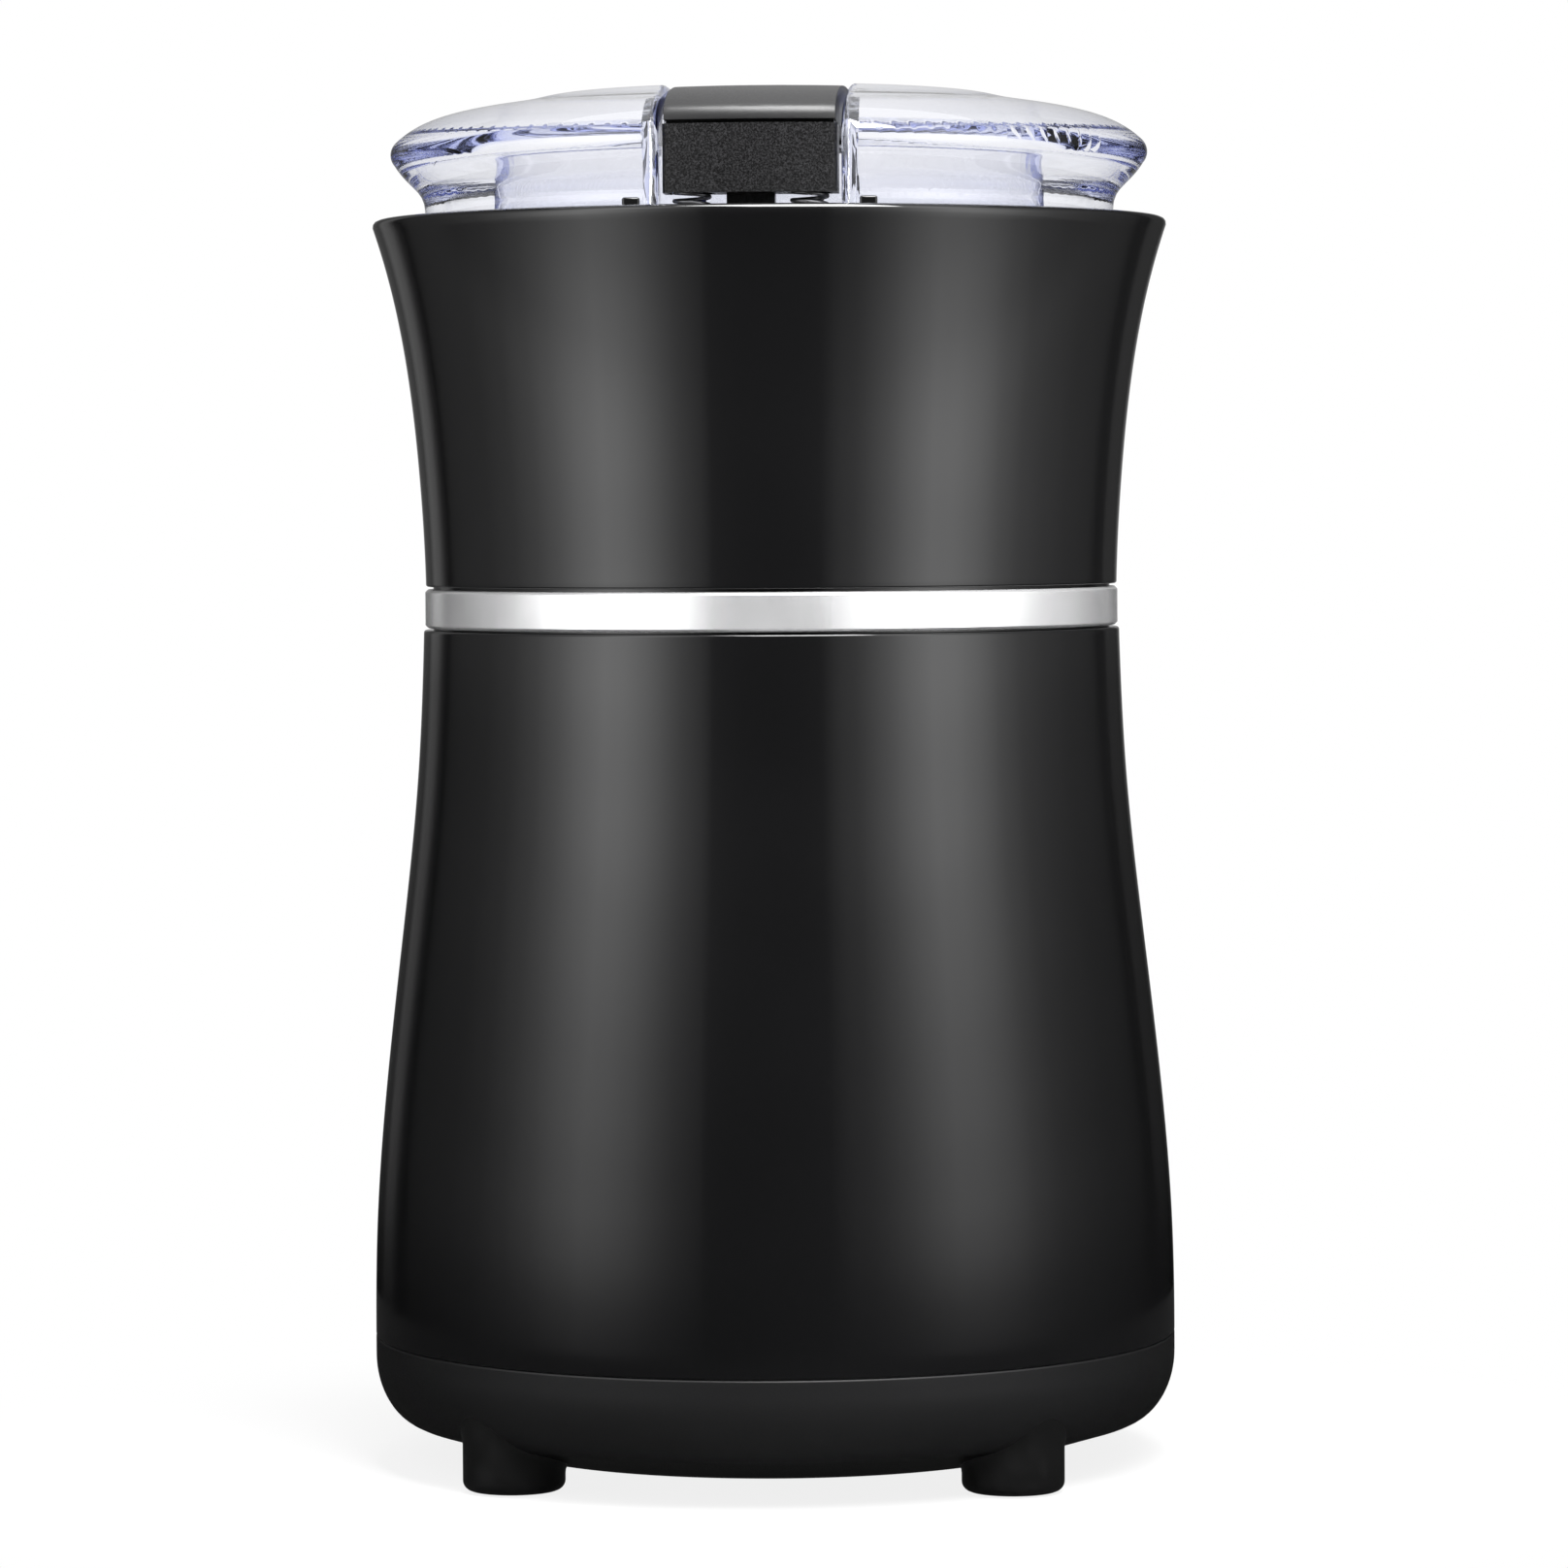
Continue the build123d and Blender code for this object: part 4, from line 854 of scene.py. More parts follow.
def grown(piece, tree_name, **values):
    """Runs a geometry node tree on a piece, with its inputs set, and keeps the plain mesh."""
    tree = bpy.data.node_groups.get(tree_name) or TREE_MAKERS[tree_name]()
    modifier = piece.modifiers.new(tree_name, "NODES")
    modifier.node_group = tree
    for item in tree.interface.items_tree:
        label = item.name.replace(" ", "_").lower()
        if item.item_type == "SOCKET" and item.in_out == "INPUT" and label in values:
            modifier[item.identifier] = values[label]
    piece.data.update()
    return settled(piece)


def moved(piece, place):
    """Moves a finished mesh by a matrix in millimetres."""
    matrix = place.copy()
    matrix.translation = place.translation * MM
    piece.data.transform(matrix)
    return piece


def spring(name, mean_r, wire_r, bottom, top, turns, place):
    """Coil spring about the Z axis of a place."""
    piece = new_object(name, bpy.data.meshes.new(name))
    piece.data.from_pydata([(0, 0, 0)], [], [])
    grown(piece, "Coil spring", mean_radius=mean_r * MM, wire_radius=wire_r * MM, bottom=bottom * MM,
          top=top * MM, turns=float(turns), material=finish("spring_steel"))
    return moved(piece, place)


def copies(name, shape, spots, material):
    """Copies of a shape at (x, y, z, turn in degrees) spots; the shape is then removed."""
    mesh = bpy.data.meshes.new(name)
    mesh.from_pydata([(x * MM, y * MM, z * MM) for x, y, z, turn in spots], [], [])
    turn = mesh.attributes.new("turn", "FLOAT", "POINT")
    turn.data.foreach_set("value", [radians(spot[3]) for spot in spots])
    piece = new_object(name, mesh)
    grown(piece, "Copies on points", shape=shape, size=1.0, material=material)
    bpy.data.objects.remove(shape)
    return piece


# ---- settings -------------------------------------------------------------
class GrinderSizes(PropertyGroup):
    """Sizes that change how finely the pieces are made."""
    round_steps: IntProperty(
        name="Round steps", description="Facets round a turned casing piece", default=288, min=48, max=512,
    )
    casing_edge: FloatProperty(
        name="Casing edge", description="Rounding of the casing's edges, in millimetres",
        default=0.3, min=0.05, max=1.0,
    )
    key_edge: FloatProperty(
        name="Key edge", description="Rounding of the key's edges, in millimetres",
        default=0.22, min=0.05, max=0.6,
    )
    spring_turns: IntProperty(
        name="Key spring turns", description="Turns of each key spring, flat ends included",
        default=7, min=4, max=12,
    )
    foot_height_gap: FloatProperty(
        name="Foot seat", description="Depth by which a foot sits in the pan, in millimetres",
        default=0.4, min=0.0, max=1.5,
    )


class GrinderColours(PropertyGroup):
    """Colours and gloss of the visible finishes."""
    casing: FloatVectorProperty(
        name="Casing black", description="Colour of the polished casing",
        subtype="COLOR", size=3, default=(0.0035, 0.0035, 0.0037), min=0, max=1,
    )
    casing_roughness: FloatProperty(
        name="Casing roughness", description="Roughness of the polished casing",
        subtype="FACTOR", default=0.07, min=0, max=1,
    )
    satin: FloatVectorProperty(
        name="Satin black", description="Colour of the pan and the key cap",
        subtype="COLOR", size=3, default=(0.005, 0.005, 0.0053), min=0, max=1,
    )
    key: FloatVectorProperty(
        name="Key black", description="Colour of the textured key block",
        subtype="COLOR", size=3, default=(0.002, 0.002, 0.0021), min=0, max=1,
    )
    lid_tint: FloatVectorProperty(
        name="Lid tint", description="Colour that light takes on inside the lid",
        subtype="COLOR", size=3, default=(0.42, 0.50, 0.92), min=0, max=1,
    )
    lid_tint_density: FloatProperty(
        name="Lid tint density", description="Strength of the lid's tint per metre",
        default=15.0, min=0, max=200,
    )
    band: FloatVectorProperty(
        name="Band metal", description="Colour of the waist band",
        subtype="COLOR", size=3, default=(0.95, 0.95, 0.96), min=0, max=1,
    )
    band_roughness: FloatProperty(
        name="Band roughness", description="Roughness of the waist band",
        subtype="FACTOR", default=0.16, min=0, max=1,
    )
    steel: FloatVectorProperty(
        name="Bowl steel", description="Colour of the bowl and the blade",
        subtype="COLOR", size=3, default=(0.72, 0.72, 0.71), min=0, max=1,
    )
    rubber: FloatVectorProperty(
        name="Rubber black", description="Colour of the feet and the gland",
        subtype="COLOR", size=3, default=(0.004, 0.004, 0.004), min=0, max=1,
    )


class GrinderStudio(PropertyGroup):
    """Camera and light."""
    camera_turn: FloatProperty(
        name="Camera turn", description="Angle of the camera from the front towards the right",
        subtype="ANGLE", default=radians(3.0),
    )
    camera_distance: FloatProperty(
        name="Camera distance", description="Distance of the camera from the axis",
        subtype="DISTANCE", unit="LENGTH", default=0.832, min=0.3, max=3,
    )
    camera_height: FloatProperty(
        name="Camera height", description="Height of the camera above the floor",
        subtype="DISTANCE", unit="LENGTH", default=0.120,
    )
    camera_pitch: FloatProperty(
        name="Camera pitch", description="Downward tilt of the camera",
        subtype="ANGLE", default=radians(2.445),
    )
    camera_yaw: FloatProperty(
        name="Camera yaw", description="Turn of the camera off the axis",
        subtype="ANGLE", default=radians(0.1),
    )
    camera_roll: FloatProperty(
        name="Camera roll", description="Roll of the camera", subtype="ANGLE", default=radians(-0.32),
    )
    lens: FloatProperty(
        name="Lens", description="Focal length in millimetres on a 36 mm sensor",
        default=152.4, min=20, max=300,
    )
    wall_light: FloatProperty(
        name="Wall light", description="Brightness of the light walls at their brightest",
        default=3.28, min=0, max=20,
    )
    top_light: FloatProperty(
        name="Top light", description="Power of the lamp overhead, in watts",
        subtype="POWER", default=4.4, min=0, max=200,
    )
    # painted dark reflection: how dark the floor looks in the polished casing's gloss
    floor_gloss: FloatProperty(
        name="Floor in gloss", description="Brightness of the floor as the polished casing mirrors it",
        default=0.03, min=0, max=1,
    )
    floor: FloatVectorProperty(
        name="Floor", description="Colour of the floor",
        subtype="COLOR", size=3, default=(0.8, 0.8, 0.8), min=0, max=1,
    )


# ---- casing ---------------------------------------------------------------
def lower_casing(sizes):
    """Polished bell from the seam to the waist, with its spigot, flange and screw posts."""
    edge = sizes.casing_edge
    side = smooth_line(LOWER_SIDE, (0, 1), (-0.03, 1))
    outer = [(r, z) for r, z in side if SEAM_Z + 2 * edge < z < LOWER_TOP_Z - 2 * edge]
    inner = [(r - LOWER_WALL, z) for r, z in reversed(side) if z < FLANGE_Z[0] - 1]
    outline = eased(
        [(WIDEST_R, SEAM_Z, edge)] + outer + [(WAIST_R, LOWER_TOP_Z, 0.35), (RING_STEP_R, LOWER_TOP_Z, 0.1)]
        + [(RING_STEP_R, RING_Z[0] - 0.02), (SPIGOT_R, RING_Z[0] - 0.02), (SPIGOT_R, SPIGOT_TOP_Z, 0.3)]
        + [(SPIGOT_INNER_R, SPIGOT_TOP_Z, 0.3), (SPIGOT_INNER_R, FLANGE_Z[1], 0.4)]
        + [(FLANGE_INNER_R, FLANGE_Z[1], 0.3), (FLANGE_INNER_R, FLANGE_Z[0], 0.3)]
        + [(inner[0][0], FLANGE_Z[0], 0.5)] + inner
    )
    piece = turned("lower_casing", outline, sizes.round_steps)
    seat, radius = GLAND_POCKET_Y, GLAND_POCKET_R
    pocket = eased([(0, seat), (radius, seat, 0.3), (radius, 53), (0, 53)])
    combined(piece, turned("pocket", pocket, 96, along_y(0, GLAND_Z)), "DIFFERENCE")
    combined(piece, turned("bore", rod_outline(GLAND_BORE_R, 44, 50), 72, along_y(0, GLAND_Z)), "DIFFERENCE")
    passage = bmesh.new()
    bottom, top = FLANGE_Z
    box_shape(passage, (-9, 9), (-39, -30), (bottom - 1, top + 0.3))
    for radius, circle_r, angles in (
        (1.6, HOUSING_SCREW_CIRCLE_R, HOUSING_SCREW_ANGLES), (1.55, DAMPER_CIRCLE_R, DAMPER_ANGLES),
    ):
        turned_at(passage, rod_outline(radius, bottom - 1, top + 1), 24, circle_r, angles)
    combined(piece, from_bmesh("passage", passage), "DIFFERENCE")
    posts = bmesh.new()
    post = eased([(1.5, 12), (3.6, 12, 0.2), (3.6, 32, 0.6), (0, 32), (0, 26), (1.5, 26)])
    for angle in BASE_SCREW_ANGLES:
        turned_at(posts, post, 32, BASE_SCREW_CIRCLE_R, [angle])
        rib = bmesh.new()
        box_shape(rib, (BASE_SCREW_CIRCLE_R + 3.2, 47.4), (-1, 1), (SEAM_Z + 5, 32))
        added_turned(posts, rib, angle)
    return with_parts(piece, from_bmesh("posts", posts))


def with_parts(piece, other):
    """Adds a second closed object's mesh to a piece."""
    shape = bmesh.new()
    shape.from_mesh(piece.data)
    shape.from_mesh(other.data)
    shape.to_mesh(piece.data)
    shape.free()
    bpy.data.objects.remove(other)
    return piece


def upper_casing(sizes):
    """Flared sleeve with the rim, the ledge under the lid, the lugs and the rod guide."""
    edge = sizes.casing_edge
    side = smooth_line(UPPER_SIDE, (0.02, 1), (0.34, 1))
    outer = [(r, z) for r, z in side if UPPER_BOTTOM[1] + 2 * edge < z <= FLARE[1]]
    under = LEDGE_Z - 2.5
    inner = [(r - UPPER_WALL, z) for r, z in reversed(side) if z < under - 0.6]
    above, below = [spot for spot in inner if spot[1] > 117], [spot for spot in inner if spot[1] < 112.5]
    rim = [(49.47, 154.5), (49.25, 154.82), (48.85, RIM_Z), (47.45, RIM_Z), (47.13, 154.86)]
    outline = eased(
        [(UPPER_BOTTOM[0], UPPER_BOTTOM[1], edge)] + outer + rim
        + [(RIM_INNER_R, 154.55), (RIM_INNER_R, LEDGE_Z, 0.3), (LEDGE_R, LEDGE_Z, 0.2)]
        + [(LEDGE_R, under, 0.2), (inner[0][0] + 0.3, under, 0.5)]
        + above + [(above[-1][0], 116, 0.5), (SCREW_SHELF_R, 116, 0.3), (SCREW_SHELF_R, 113.5, 0.3)]
        + [(below[0][0], 113.5, 0.5)]
        + below + [(40.9, RING_Z[1] + 0.02), (RING_STEP_R, RING_Z[1] + 0.02), (RING_STEP_R, UPPER_BOTTOM[1])]
    )
    piece = turned("upper_casing", outline, sizes.round_steps)
    guide = eased([(0, 143.2), (4.0, 143.2, 0.3), (4.0, LEDGE_Z - 0.5), (0, LEDGE_Z - 0.5)])
    combined(piece, turned("guide", guide, 48, at(0, ROD_Y)), "UNION")
    bore = [(0, ROD_SPRING_FOOT_Z), (2.85, ROD_SPRING_FOOT_Z), (2.85, 152.1), (3.15, 152.6), (0, 152.6)]
    combined(piece, turned("guide_bore", bore, 48, at(0, ROD_Y)), "DIFFERENCE")
    combined(piece, turned("rod_bore", rod_outline(1.7, 142, 145), 40, at(0, ROD_Y)), "DIFFERENCE")
    lugs = bmesh.new()
    for side_x in (-1, 1):
        box_shape(lugs, sorted((side_x * 13.05, side_x * 15.15)), (-44.6, -43.4), (LEDGE_Z - 0.8, RIM_Z + 1))
    with_parts(piece, bevelled(from_bmesh("lugs", lugs), 0.3))
    posts = bmesh.new()
    post = eased([(1.25, 103.05), (2.7, 103.05, 0.2), (2.7, 113.8), (0, 113.8), (0, 112), (1.25, 112)])
    turned_at(posts, post, 32, HOUSING_SCREW_CIRCLE_R, HOUSING_SCREW_ANGLES)
    post = eased([(0.95, -41.1), (2.0, -41.1, 0.15), (2.0, -43.6), (0, -43.6), (0, -42.4), (0.95, -42.4)])
    for x in SWITCH_SCREWS_X:
        turned_shape(posts, post, 28, along_y(x, SWITCH_SCREWS_Z))
    return with_parts(piece, from_bmesh("upper_posts", posts))


def waist_band(sizes):
    """Polished band with bevelled edges."""
    bottom, top = RING_Z
    bevel = 0.35
    outline = eased([
        (SPIGOT_R + 0.1, bottom), (RING_R - bevel, bottom, 0.06), (RING_R, bottom + bevel, 0.12),
        (RING_R, top - bevel, 0.12), (RING_R - bevel, top, 0.06), (SPIGOT_R + 0.1, top),
    ])
    return turned("waist_band", outline, sizes.round_steps)


def base_shell(sizes):
    """Satin pan with its lip, cooling slots and screw wells."""
    lip = eased([
        (WIDEST_R, 15.2), (WIDEST_R, SEAM_Z, 0.28), (47.3, SEAM_Z), (47.3, 19.9, 0.3), (45.6, 19.9, 0.3),
        (45.6, 12.0), (44.9, 9.4), (43.5, 7.8), (34.3, 4.45), (0, 4.45),
    ])
    piece = turned("base_shell", pan_side()[:-1] + lip, sizes.round_steps)
    well = eased([(0, 4.6), (4.6, 4.6), (4.6, 12, 0.3), (0, 12)])
    bore = [(0, 0), (3.4, 0), (3.2, 4.4), (3.2, 9.5), (1.7, 9.5), (1.7, 13), (0, 13)]
    for name, outline, operation in (("wells", well, "UNION"), ("well_bores", bore, "DIFFERENCE")):
        wells = bmesh.new()
        turned_at(wells, outline, 48, BASE_SCREW_CIRCLE_R, BASE_SCREW_ANGLES)
        combined(piece, from_bmesh(name, wells), operation)
    slots = bmesh.new()
    near, far = SLOT_ENDS_R[0] + SLOT_HALF_WIDTH, SLOT_ENDS_R[1] - SLOT_HALF_WIDTH
    for step in range(SLOT_COUNT):
        slot = bmesh.new()
        spots = arc((far, 0), SLOT_HALF_WIDTH, -90, 90, 15) + arc((near, 0), SLOT_HALF_WIDTH, 90, 270, 15)
        floor = slot.faces.new([slot.verts.new((x, y, 0)) for x, y in spots])
        raised = bmesh.ops.extrude_face_region(slot, geom=[floor])["geom"]
        upper = [item for item in raised if isinstance(item, bmesh.types.BMVert)]
        bmesh.ops.translate(slot, vec=(0, 0, 8), verts=upper)
        added_turned(slots, slot, 360 * step / SLOT_COUNT)
    return combined(piece, from_bmesh("slots", slots), "DIFFERENCE")


class GRINDER_OT_casing(Operator):
    """Build the lower casing, the flared casing, the waist band and the base pan"""
    bl_idname = "grinder.casing"
    bl_label = "Build casing"

    def execute(self, context):
        sizes = context.scene.grinder_sizes
        seated(lower_casing(sizes), "lower_housing")
        seated(upper_casing(sizes), "upper_housing")
        seated(waist_band(sizes), "trim_ring", angle=50)
        seated(base_shell(sizes), "base_pan")
        return {"FINISHED"}


# ---- feet and gland -------------------------------------------------------
def rubber_foot(name, angle, sizes):
    """Round foot whose top follows the pan above it."""
    centre = Vector(on_circle(FOOT_CIRCLE_R, angle))
    steps = 96
    shape = bmesh.new()

    def ring(radius, level, under_pan):
        """Ring at a height, or at a height from the pan's underside."""
        verts = []
        for turn in full_turn(steps):
            x, y = centre.x + radius * cos(turn), centre.y + radius * sin(turn)
            z = pan_underside((x * x + y * y) ** 0.5) + level if under_pan else level
            verts.append(shape.verts.new((x, y, z)))
        return verts

    sole = eased([(0, 0), (FOOT_R, 0, 1.2), (FOOT_R, 3.0)])[1:-1]
    rings = [ring(radius, level, False) for radius, level in sole]
    for wider, level in ((0, -1.0), (0.06, -0.45), (0.22, -0.12), (0.5, sizes.foot_height_gap)):
        rings.append(ring(FOOT_R + wider, level, True))
    middle = shape.verts.new((centre.x, centre.y, 0))
    top = shape.verts.new((centre.x, centre.y, pan_underside(centre.length) + sizes.foot_height_gap))
    for k in range(steps):
        following = (k + 1) % steps
        shape.faces.new((middle, rings[0][following], rings[0][k]))
        for lower, upper in zip(rings, rings[1:]):
            shape.faces.new((lower[k], lower[following], upper[following], upper[k]))
        shape.faces.new((rings[-1][k], rings[-1][following], top))
    return from_bmesh(name, shape)


class GRINDER_OT_rubber_parts(Operator):
    """Build the four feet and the cord gland"""
    bl_idname = "grinder.rubber_parts"
    bl_label = "Build feet and gland"

    def execute(self, context):
        sizes = context.scene.grinder_sizes
        feet = (("front_left", 225), ("front_right", 315), ("rear_left", 135), ("rear_right", 45))
        for place, angle in feet:
            seated(rubber_foot("rubber_foot_" + place, angle, sizes), "foot_" + place)
        outline = eased([
            (GLAND_HOLE_R, 43.0, 0.2), (6.6, 43.0, 0.3), (6.6, 44.0, 0.2), (GLAND_BORE_R - 0.05, 44.0),
            (GLAND_BORE_R - 0.05, GLAND_POCKET_Y + 0.02), (7.4, GLAND_POCKET_Y + 0.02), (7.4, 49.1, 0.3),
            (5.6, 49.88, 0.25), (GLAND_HOLE_R, 49.88, 0.3),
        ])
        seated(turned("rear_gland", outline, 96, along_y(0, GLAND_Z)), "cord_gland")
        return {"FINISHED"}


# ---- lid and key ----------------------------------------------------------
def arc_line(start, middle, end, pieces=24):
    """Points of the arc through three (radius, height) spots."""
    a, b, c = (complex(*spot) for spot in (start, middle, end))
    w = (c - a) / (b - a)
    centre = a + (b - a) * (w - abs(w) ** 2) / (2j * w.imag)
    sweep = degrees(phase((c - centre) / (a - centre)))
    turns = [centre + (a - centre) * rect(1, radians(sweep * k / pieces)) for k in range(pieces + 1)]
    return [(spot.real, spot.imag) for spot in turns]


def lid_lines():
    """Outside and inside lines of the lid as fine (radius, height) points."""
    outside = [(42.6, 152.55), (42.8, 154.6)]
    lower = [(43.0, 156.7), (44.8, 159.6), (46.7, 161.9)]
    outside += smooth_line(lower, (0.1, 1), (0.6, 1), 0.3, (1.243, 1.037))
    outside += arc_line((46.7, 161.9), (47.2, 163.2), (46.7, 164.5))
    upper = [(46.7, 164.5), (42.2, 167.3), (32.9, 169.3), (0, 170.8)]
    outside += smooth_line(upper, (-1, 1), (-1, 0), 0.3, (1.022, 3.04))
    inside = [(40.3, 153.9), (40.45, 155.3)]
    lower = [(40.6, 156.7), (42.3, 159.6), (44.1, 161.9)]
    inside += smooth_line(lower, (0.1, 1), (0.6, 1), 0.3, (1.233, 1.035))
    inside += arc_line((44.1, 161.9), (44.3, 162.9), (43.4, 163.6))
    upper = [(43.4, 163.6), (40.5, 165.1), (32.0, 166.95), (0, 168.5)]
    inside += smooth_line(upper, (-0.8, 0.6), (-1, 0), 0.3, (0.993, 2.806))
    return outside, inside


def on_lid_lines(spots):
    """Distance of (x, y, z) spots from the lid's turned faces, their place on them and the way they face."""
    radius = np.maximum(np.hypot(spots[:, 0], spots[:, 1]), 1e-6)
    flat = np.column_stack((radius, spots[:, 2]))
    out = spots[:, :2] / radius[:, None]
    away, seat, facing = np.full(len(spots), 1e3), spots.copy(), np.zeros((len(spots), 3))
    for line in lid_lines():
        line = np.array([spot for spot, last in zip(line, [None] + line) if spot != last])
        start, run, slopes = line[:-1], np.diff(line, axis=0), np.gradient(line, axis=0)
        for first in range(0, len(spots), 4000):
            rows = slice(first, first + 4000)
            share = np.clip(((flat[rows, None] - start) * run).sum(2) / (run ** 2).sum(1), 0, 1)
            gap = np.linalg.norm(flat[rows, None] - start - share[..., None] * run, axis=2)
            nearest = gap.argmin(1)
            every = np.arange(len(nearest))
            part = share[every, nearest, None]
            foot = start[nearest] + part * run[nearest]
            along = slopes[nearest] + part * (slopes[nearest + 1] - slopes[nearest])
            along /= np.linalg.norm(along, axis=1)[:, None]
            taken = gap[every, nearest] < away[rows]
            away[rows][taken] = gap[every, nearest][taken]
            seat[rows][taken] = np.column_stack((out[rows] * foot[:, :1], foot[:, 1:]))[taken]
            facing[rows][taken] = np.column_stack((out[rows] * along[:, 1:], -along[:, :1]))[taken]
    return away, seat, facing


def lid_copy():
    """Copy of the CAD lid with its corners joined and its turned faces laid finely on exact outlines."""
    shape = bmesh.new()
    shape.from_mesh(frame["nodes"]["lid_shell"].data)
    bmesh.ops.remove_doubles(shape, verts=shape.verts, dist=2e-6)
    for length, reach in LID_PASSES:
        edges = [edge for edge in shape.edges if edge.calc_length() > length * MM]
        middles = np.array([(edge.verts[0].co + edge.verts[1].co) / 2 for edge in edges]) / MM
        away = on_lid_lines(middles)[0]
        if length < 1:
            radius = np.hypot(middles[:, 0], middles[:, 1])
            off_crest = np.abs(middles[:, 2] - CREST_Z) > CREST_HALF_HEIGHT
            away[(radius < CREST_R) | (radius > reach) | off_crest] = 1
        chosen = [edge for edge, gap in zip(edges, away) if gap < LID_GAP]
        bmesh.ops.subdivide_edges(shape, edges=chosen, cuts=1, use_single_edge=True)
        bmesh.ops.triangulate(shape, faces=[face for face in shape.faces if len(face.verts) > 3])
    shape.verts.index_update()
    away, seat, facing = on_lid_lines(np.array([vertex.co for vertex in shape.verts]) / MM)
    for vertex in shape.verts:
        if away[vertex.index] < LID_GAP:
            vertex.co = seat[vertex.index] * MM
    slack = []
    for edge in shape.edges:
        around = list({vertex.index for face in edge.link_faces for vertex in face.verts})
        if len(around) != 4 or away[around].max() >= LID_GAP:
            continue
        if (facing[around] @ facing[around].T).min() > FLAT_ENOUGH:
            slack.append(edge)
    bmesh.ops.beautify_fill(shape, faces=shape.faces, edges=slack, method="ANGLE")
    return kept("clear_lid", shape)


def evened(piece):
    """Gives the turned faces of the lid their exact directions, so that the plastic bends light evenly."""
    mesh = piece.data
    spots = np.empty(3 * len(mesh.vertices))
    mesh.vertices.foreach_get("co", spots)
    away, seat, facing = on_lid_lines(spots.reshape(-1, 3) / MM)
    corners = []
    for polygon in mesh.polygons:
        for vertex in polygon.vertices:
            lean = float(facing[vertex] @ polygon.normal) if away[vertex] < LID_GAP else 0.0
            exact = tuple(facing[vertex] * (1 if lean > 0 else -1))
            corners.append(exact if abs(lean) > SAME_WAY else (0, 0, 0))
    mesh.normals_split_custom_set(corners)
    return piece


class GRINDER_OT_lid(Operator):
    """Build the clear lid"""
    bl_idname = "grinder.lid"
    bl_label = "Build lid"

    def execute(self, context):
        seated(evened(smoothed(lid_copy(), 25)), "lid_shell", angle=None)
        return {"FINISHED"}


class GRINDER_OT_key(Operator):
    """Build the key's block, its cap and its hinge pin"""
    bl_idname = "grinder.key"
    bl_label = "Build key"

    def execute(self, context):
        edge = context.scene.grinder_sizes.key_edge
        seated(softened("key_block", "button_body", edge, 3), "button_body")
        seated(softened("key_cap", "button_cap", edge * 1.4, 4), "button_cap")
        seated(softened("key_pin", "button_pin", 0.1), "button_pin")
        return {"FINISHED"}


# ---- springs --------------------------------------------------------------
class GRINDER_OT_springs(Operator):
    """Build every coil spring"""
    bl_idname = "grinder.springs"
    bl_label = "Build springs"

    def execute(self, context):
        turns = context.scene.grinder_sizes.spring_turns
        for side, word in ((-1, "left"), (1, "right")):
            place = at(side * KEY_SPRING[0], KEY_SPRING[1])
            piece = spring("key_spring_" + word, 2.1, 0.26, KEY_SPRING_FOOT_Z + 0.02, 160.98, turns, place)
            seated(piece, "button_spring_" + word, body="lid")
            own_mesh(piece)
        piece = spring("rod_spring", 2.15, 0.25, ROD_SPRING_FOOT_Z + 0.02, 150.38, 7, at(0, ROD_Y))
        seated(piece, "push_rod_spring", body="housing")
        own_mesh(piece)
        for side, word in ((-1, "left"), (1, "right")):
            place = at(0, 0, BRUSH_Z) @ Matrix.Rotation(side * pi / 2, 4, "Y")
            piece = spring("feed_spring_" + word, 1.9, 0.25, 19.55, 25.95, 8, place)
            seated(piece, "brush_spring_" + word)
        return {"FINISHED"}


# ---- bowl and blade -------------------------------------------------------
def cup():
    """Pressed bowl with a rolled flange and a raised centre."""
    outer = [(4.2, 111.7), (8.5, 111.7, 0.8), (11.0, 109.5, 0.8)] + arc(CUP_CURVE, 12, -90, 0, 9)
    outer += [(35.5, 144.0, 3.0), (35.5, 152.4, 0.15), (37.3, 152.4, 0.25), (37.3, 153.0, 0.25)]
    inner = [(34.85, 153.0, 0.4), (34.8, 144.0, 3.0)] + arc(CUP_CURVE, 11.3, 0, -90, -9)
    inner += [(11.3, 110.2, 0.8), (8.7, 112.4, 0.8), (4.2, 112.4)]
    return turned("steel_cup", eased(outer + inner), 192)


class GRINDER_OT_bowl(Operator):
    """Build the steel bowl and its shaft seal"""
    bl_idname = "grinder.bowl"
    bl_label = "Build bowl"

    def execute(self, context):
        seated(cup(), "grinding_bowl")
        outline = eased([
            (SEAL_R, 109.7), (7.2, 109.7, 0.2), (7.2, 111.68, 0.2), (4.18, 111.68), (4.18, 112.7, 0.25),
            (SEAL_R + 0.2, 112.7, 0.1), (SEAL_R, 112.3),
        ])
        seated(turned("lip_seal", outline, 96), "shaft_seal")
        return {"FINISHED"}


class GRINDER_OT_blade(Operator):
    """Build the blade, its hub, the nut and the motor shaft"""
    bl_idname = "grinder.blade"
    bl_label = "Build blade"

    def execute(self, context):
        seated(softened("cutting_blade", "blade", 0.18), "blade")
        hub = eased([(3.0, 113.2), (5.4, 113.2, 0.3), (5.4, 116, 0.3), (3.0, 116)])
        seated(turned("blade_collar", hub, 96), "blade_hub")
        seated(softened("hexagon_nut", "blade_nut", 0.25, 3), "blade_nut")
        height, thread_top = THREAD_Z
        shaft = eased([(0, 14.6), (3.0, 14.6, 0.4), (3.0, height)])[:-1]
        while height < thread_top:
            shaft += [(2.98, height), (2.7, height + 0.25)]
            height += 0.5
        shaft += [(2.6, 121.4), (2.3, 122.0), (0, 122.0)]
        seated(turned("long_shaft", shaft, 96), "motor_shaft")
        return {"FINISHED"}


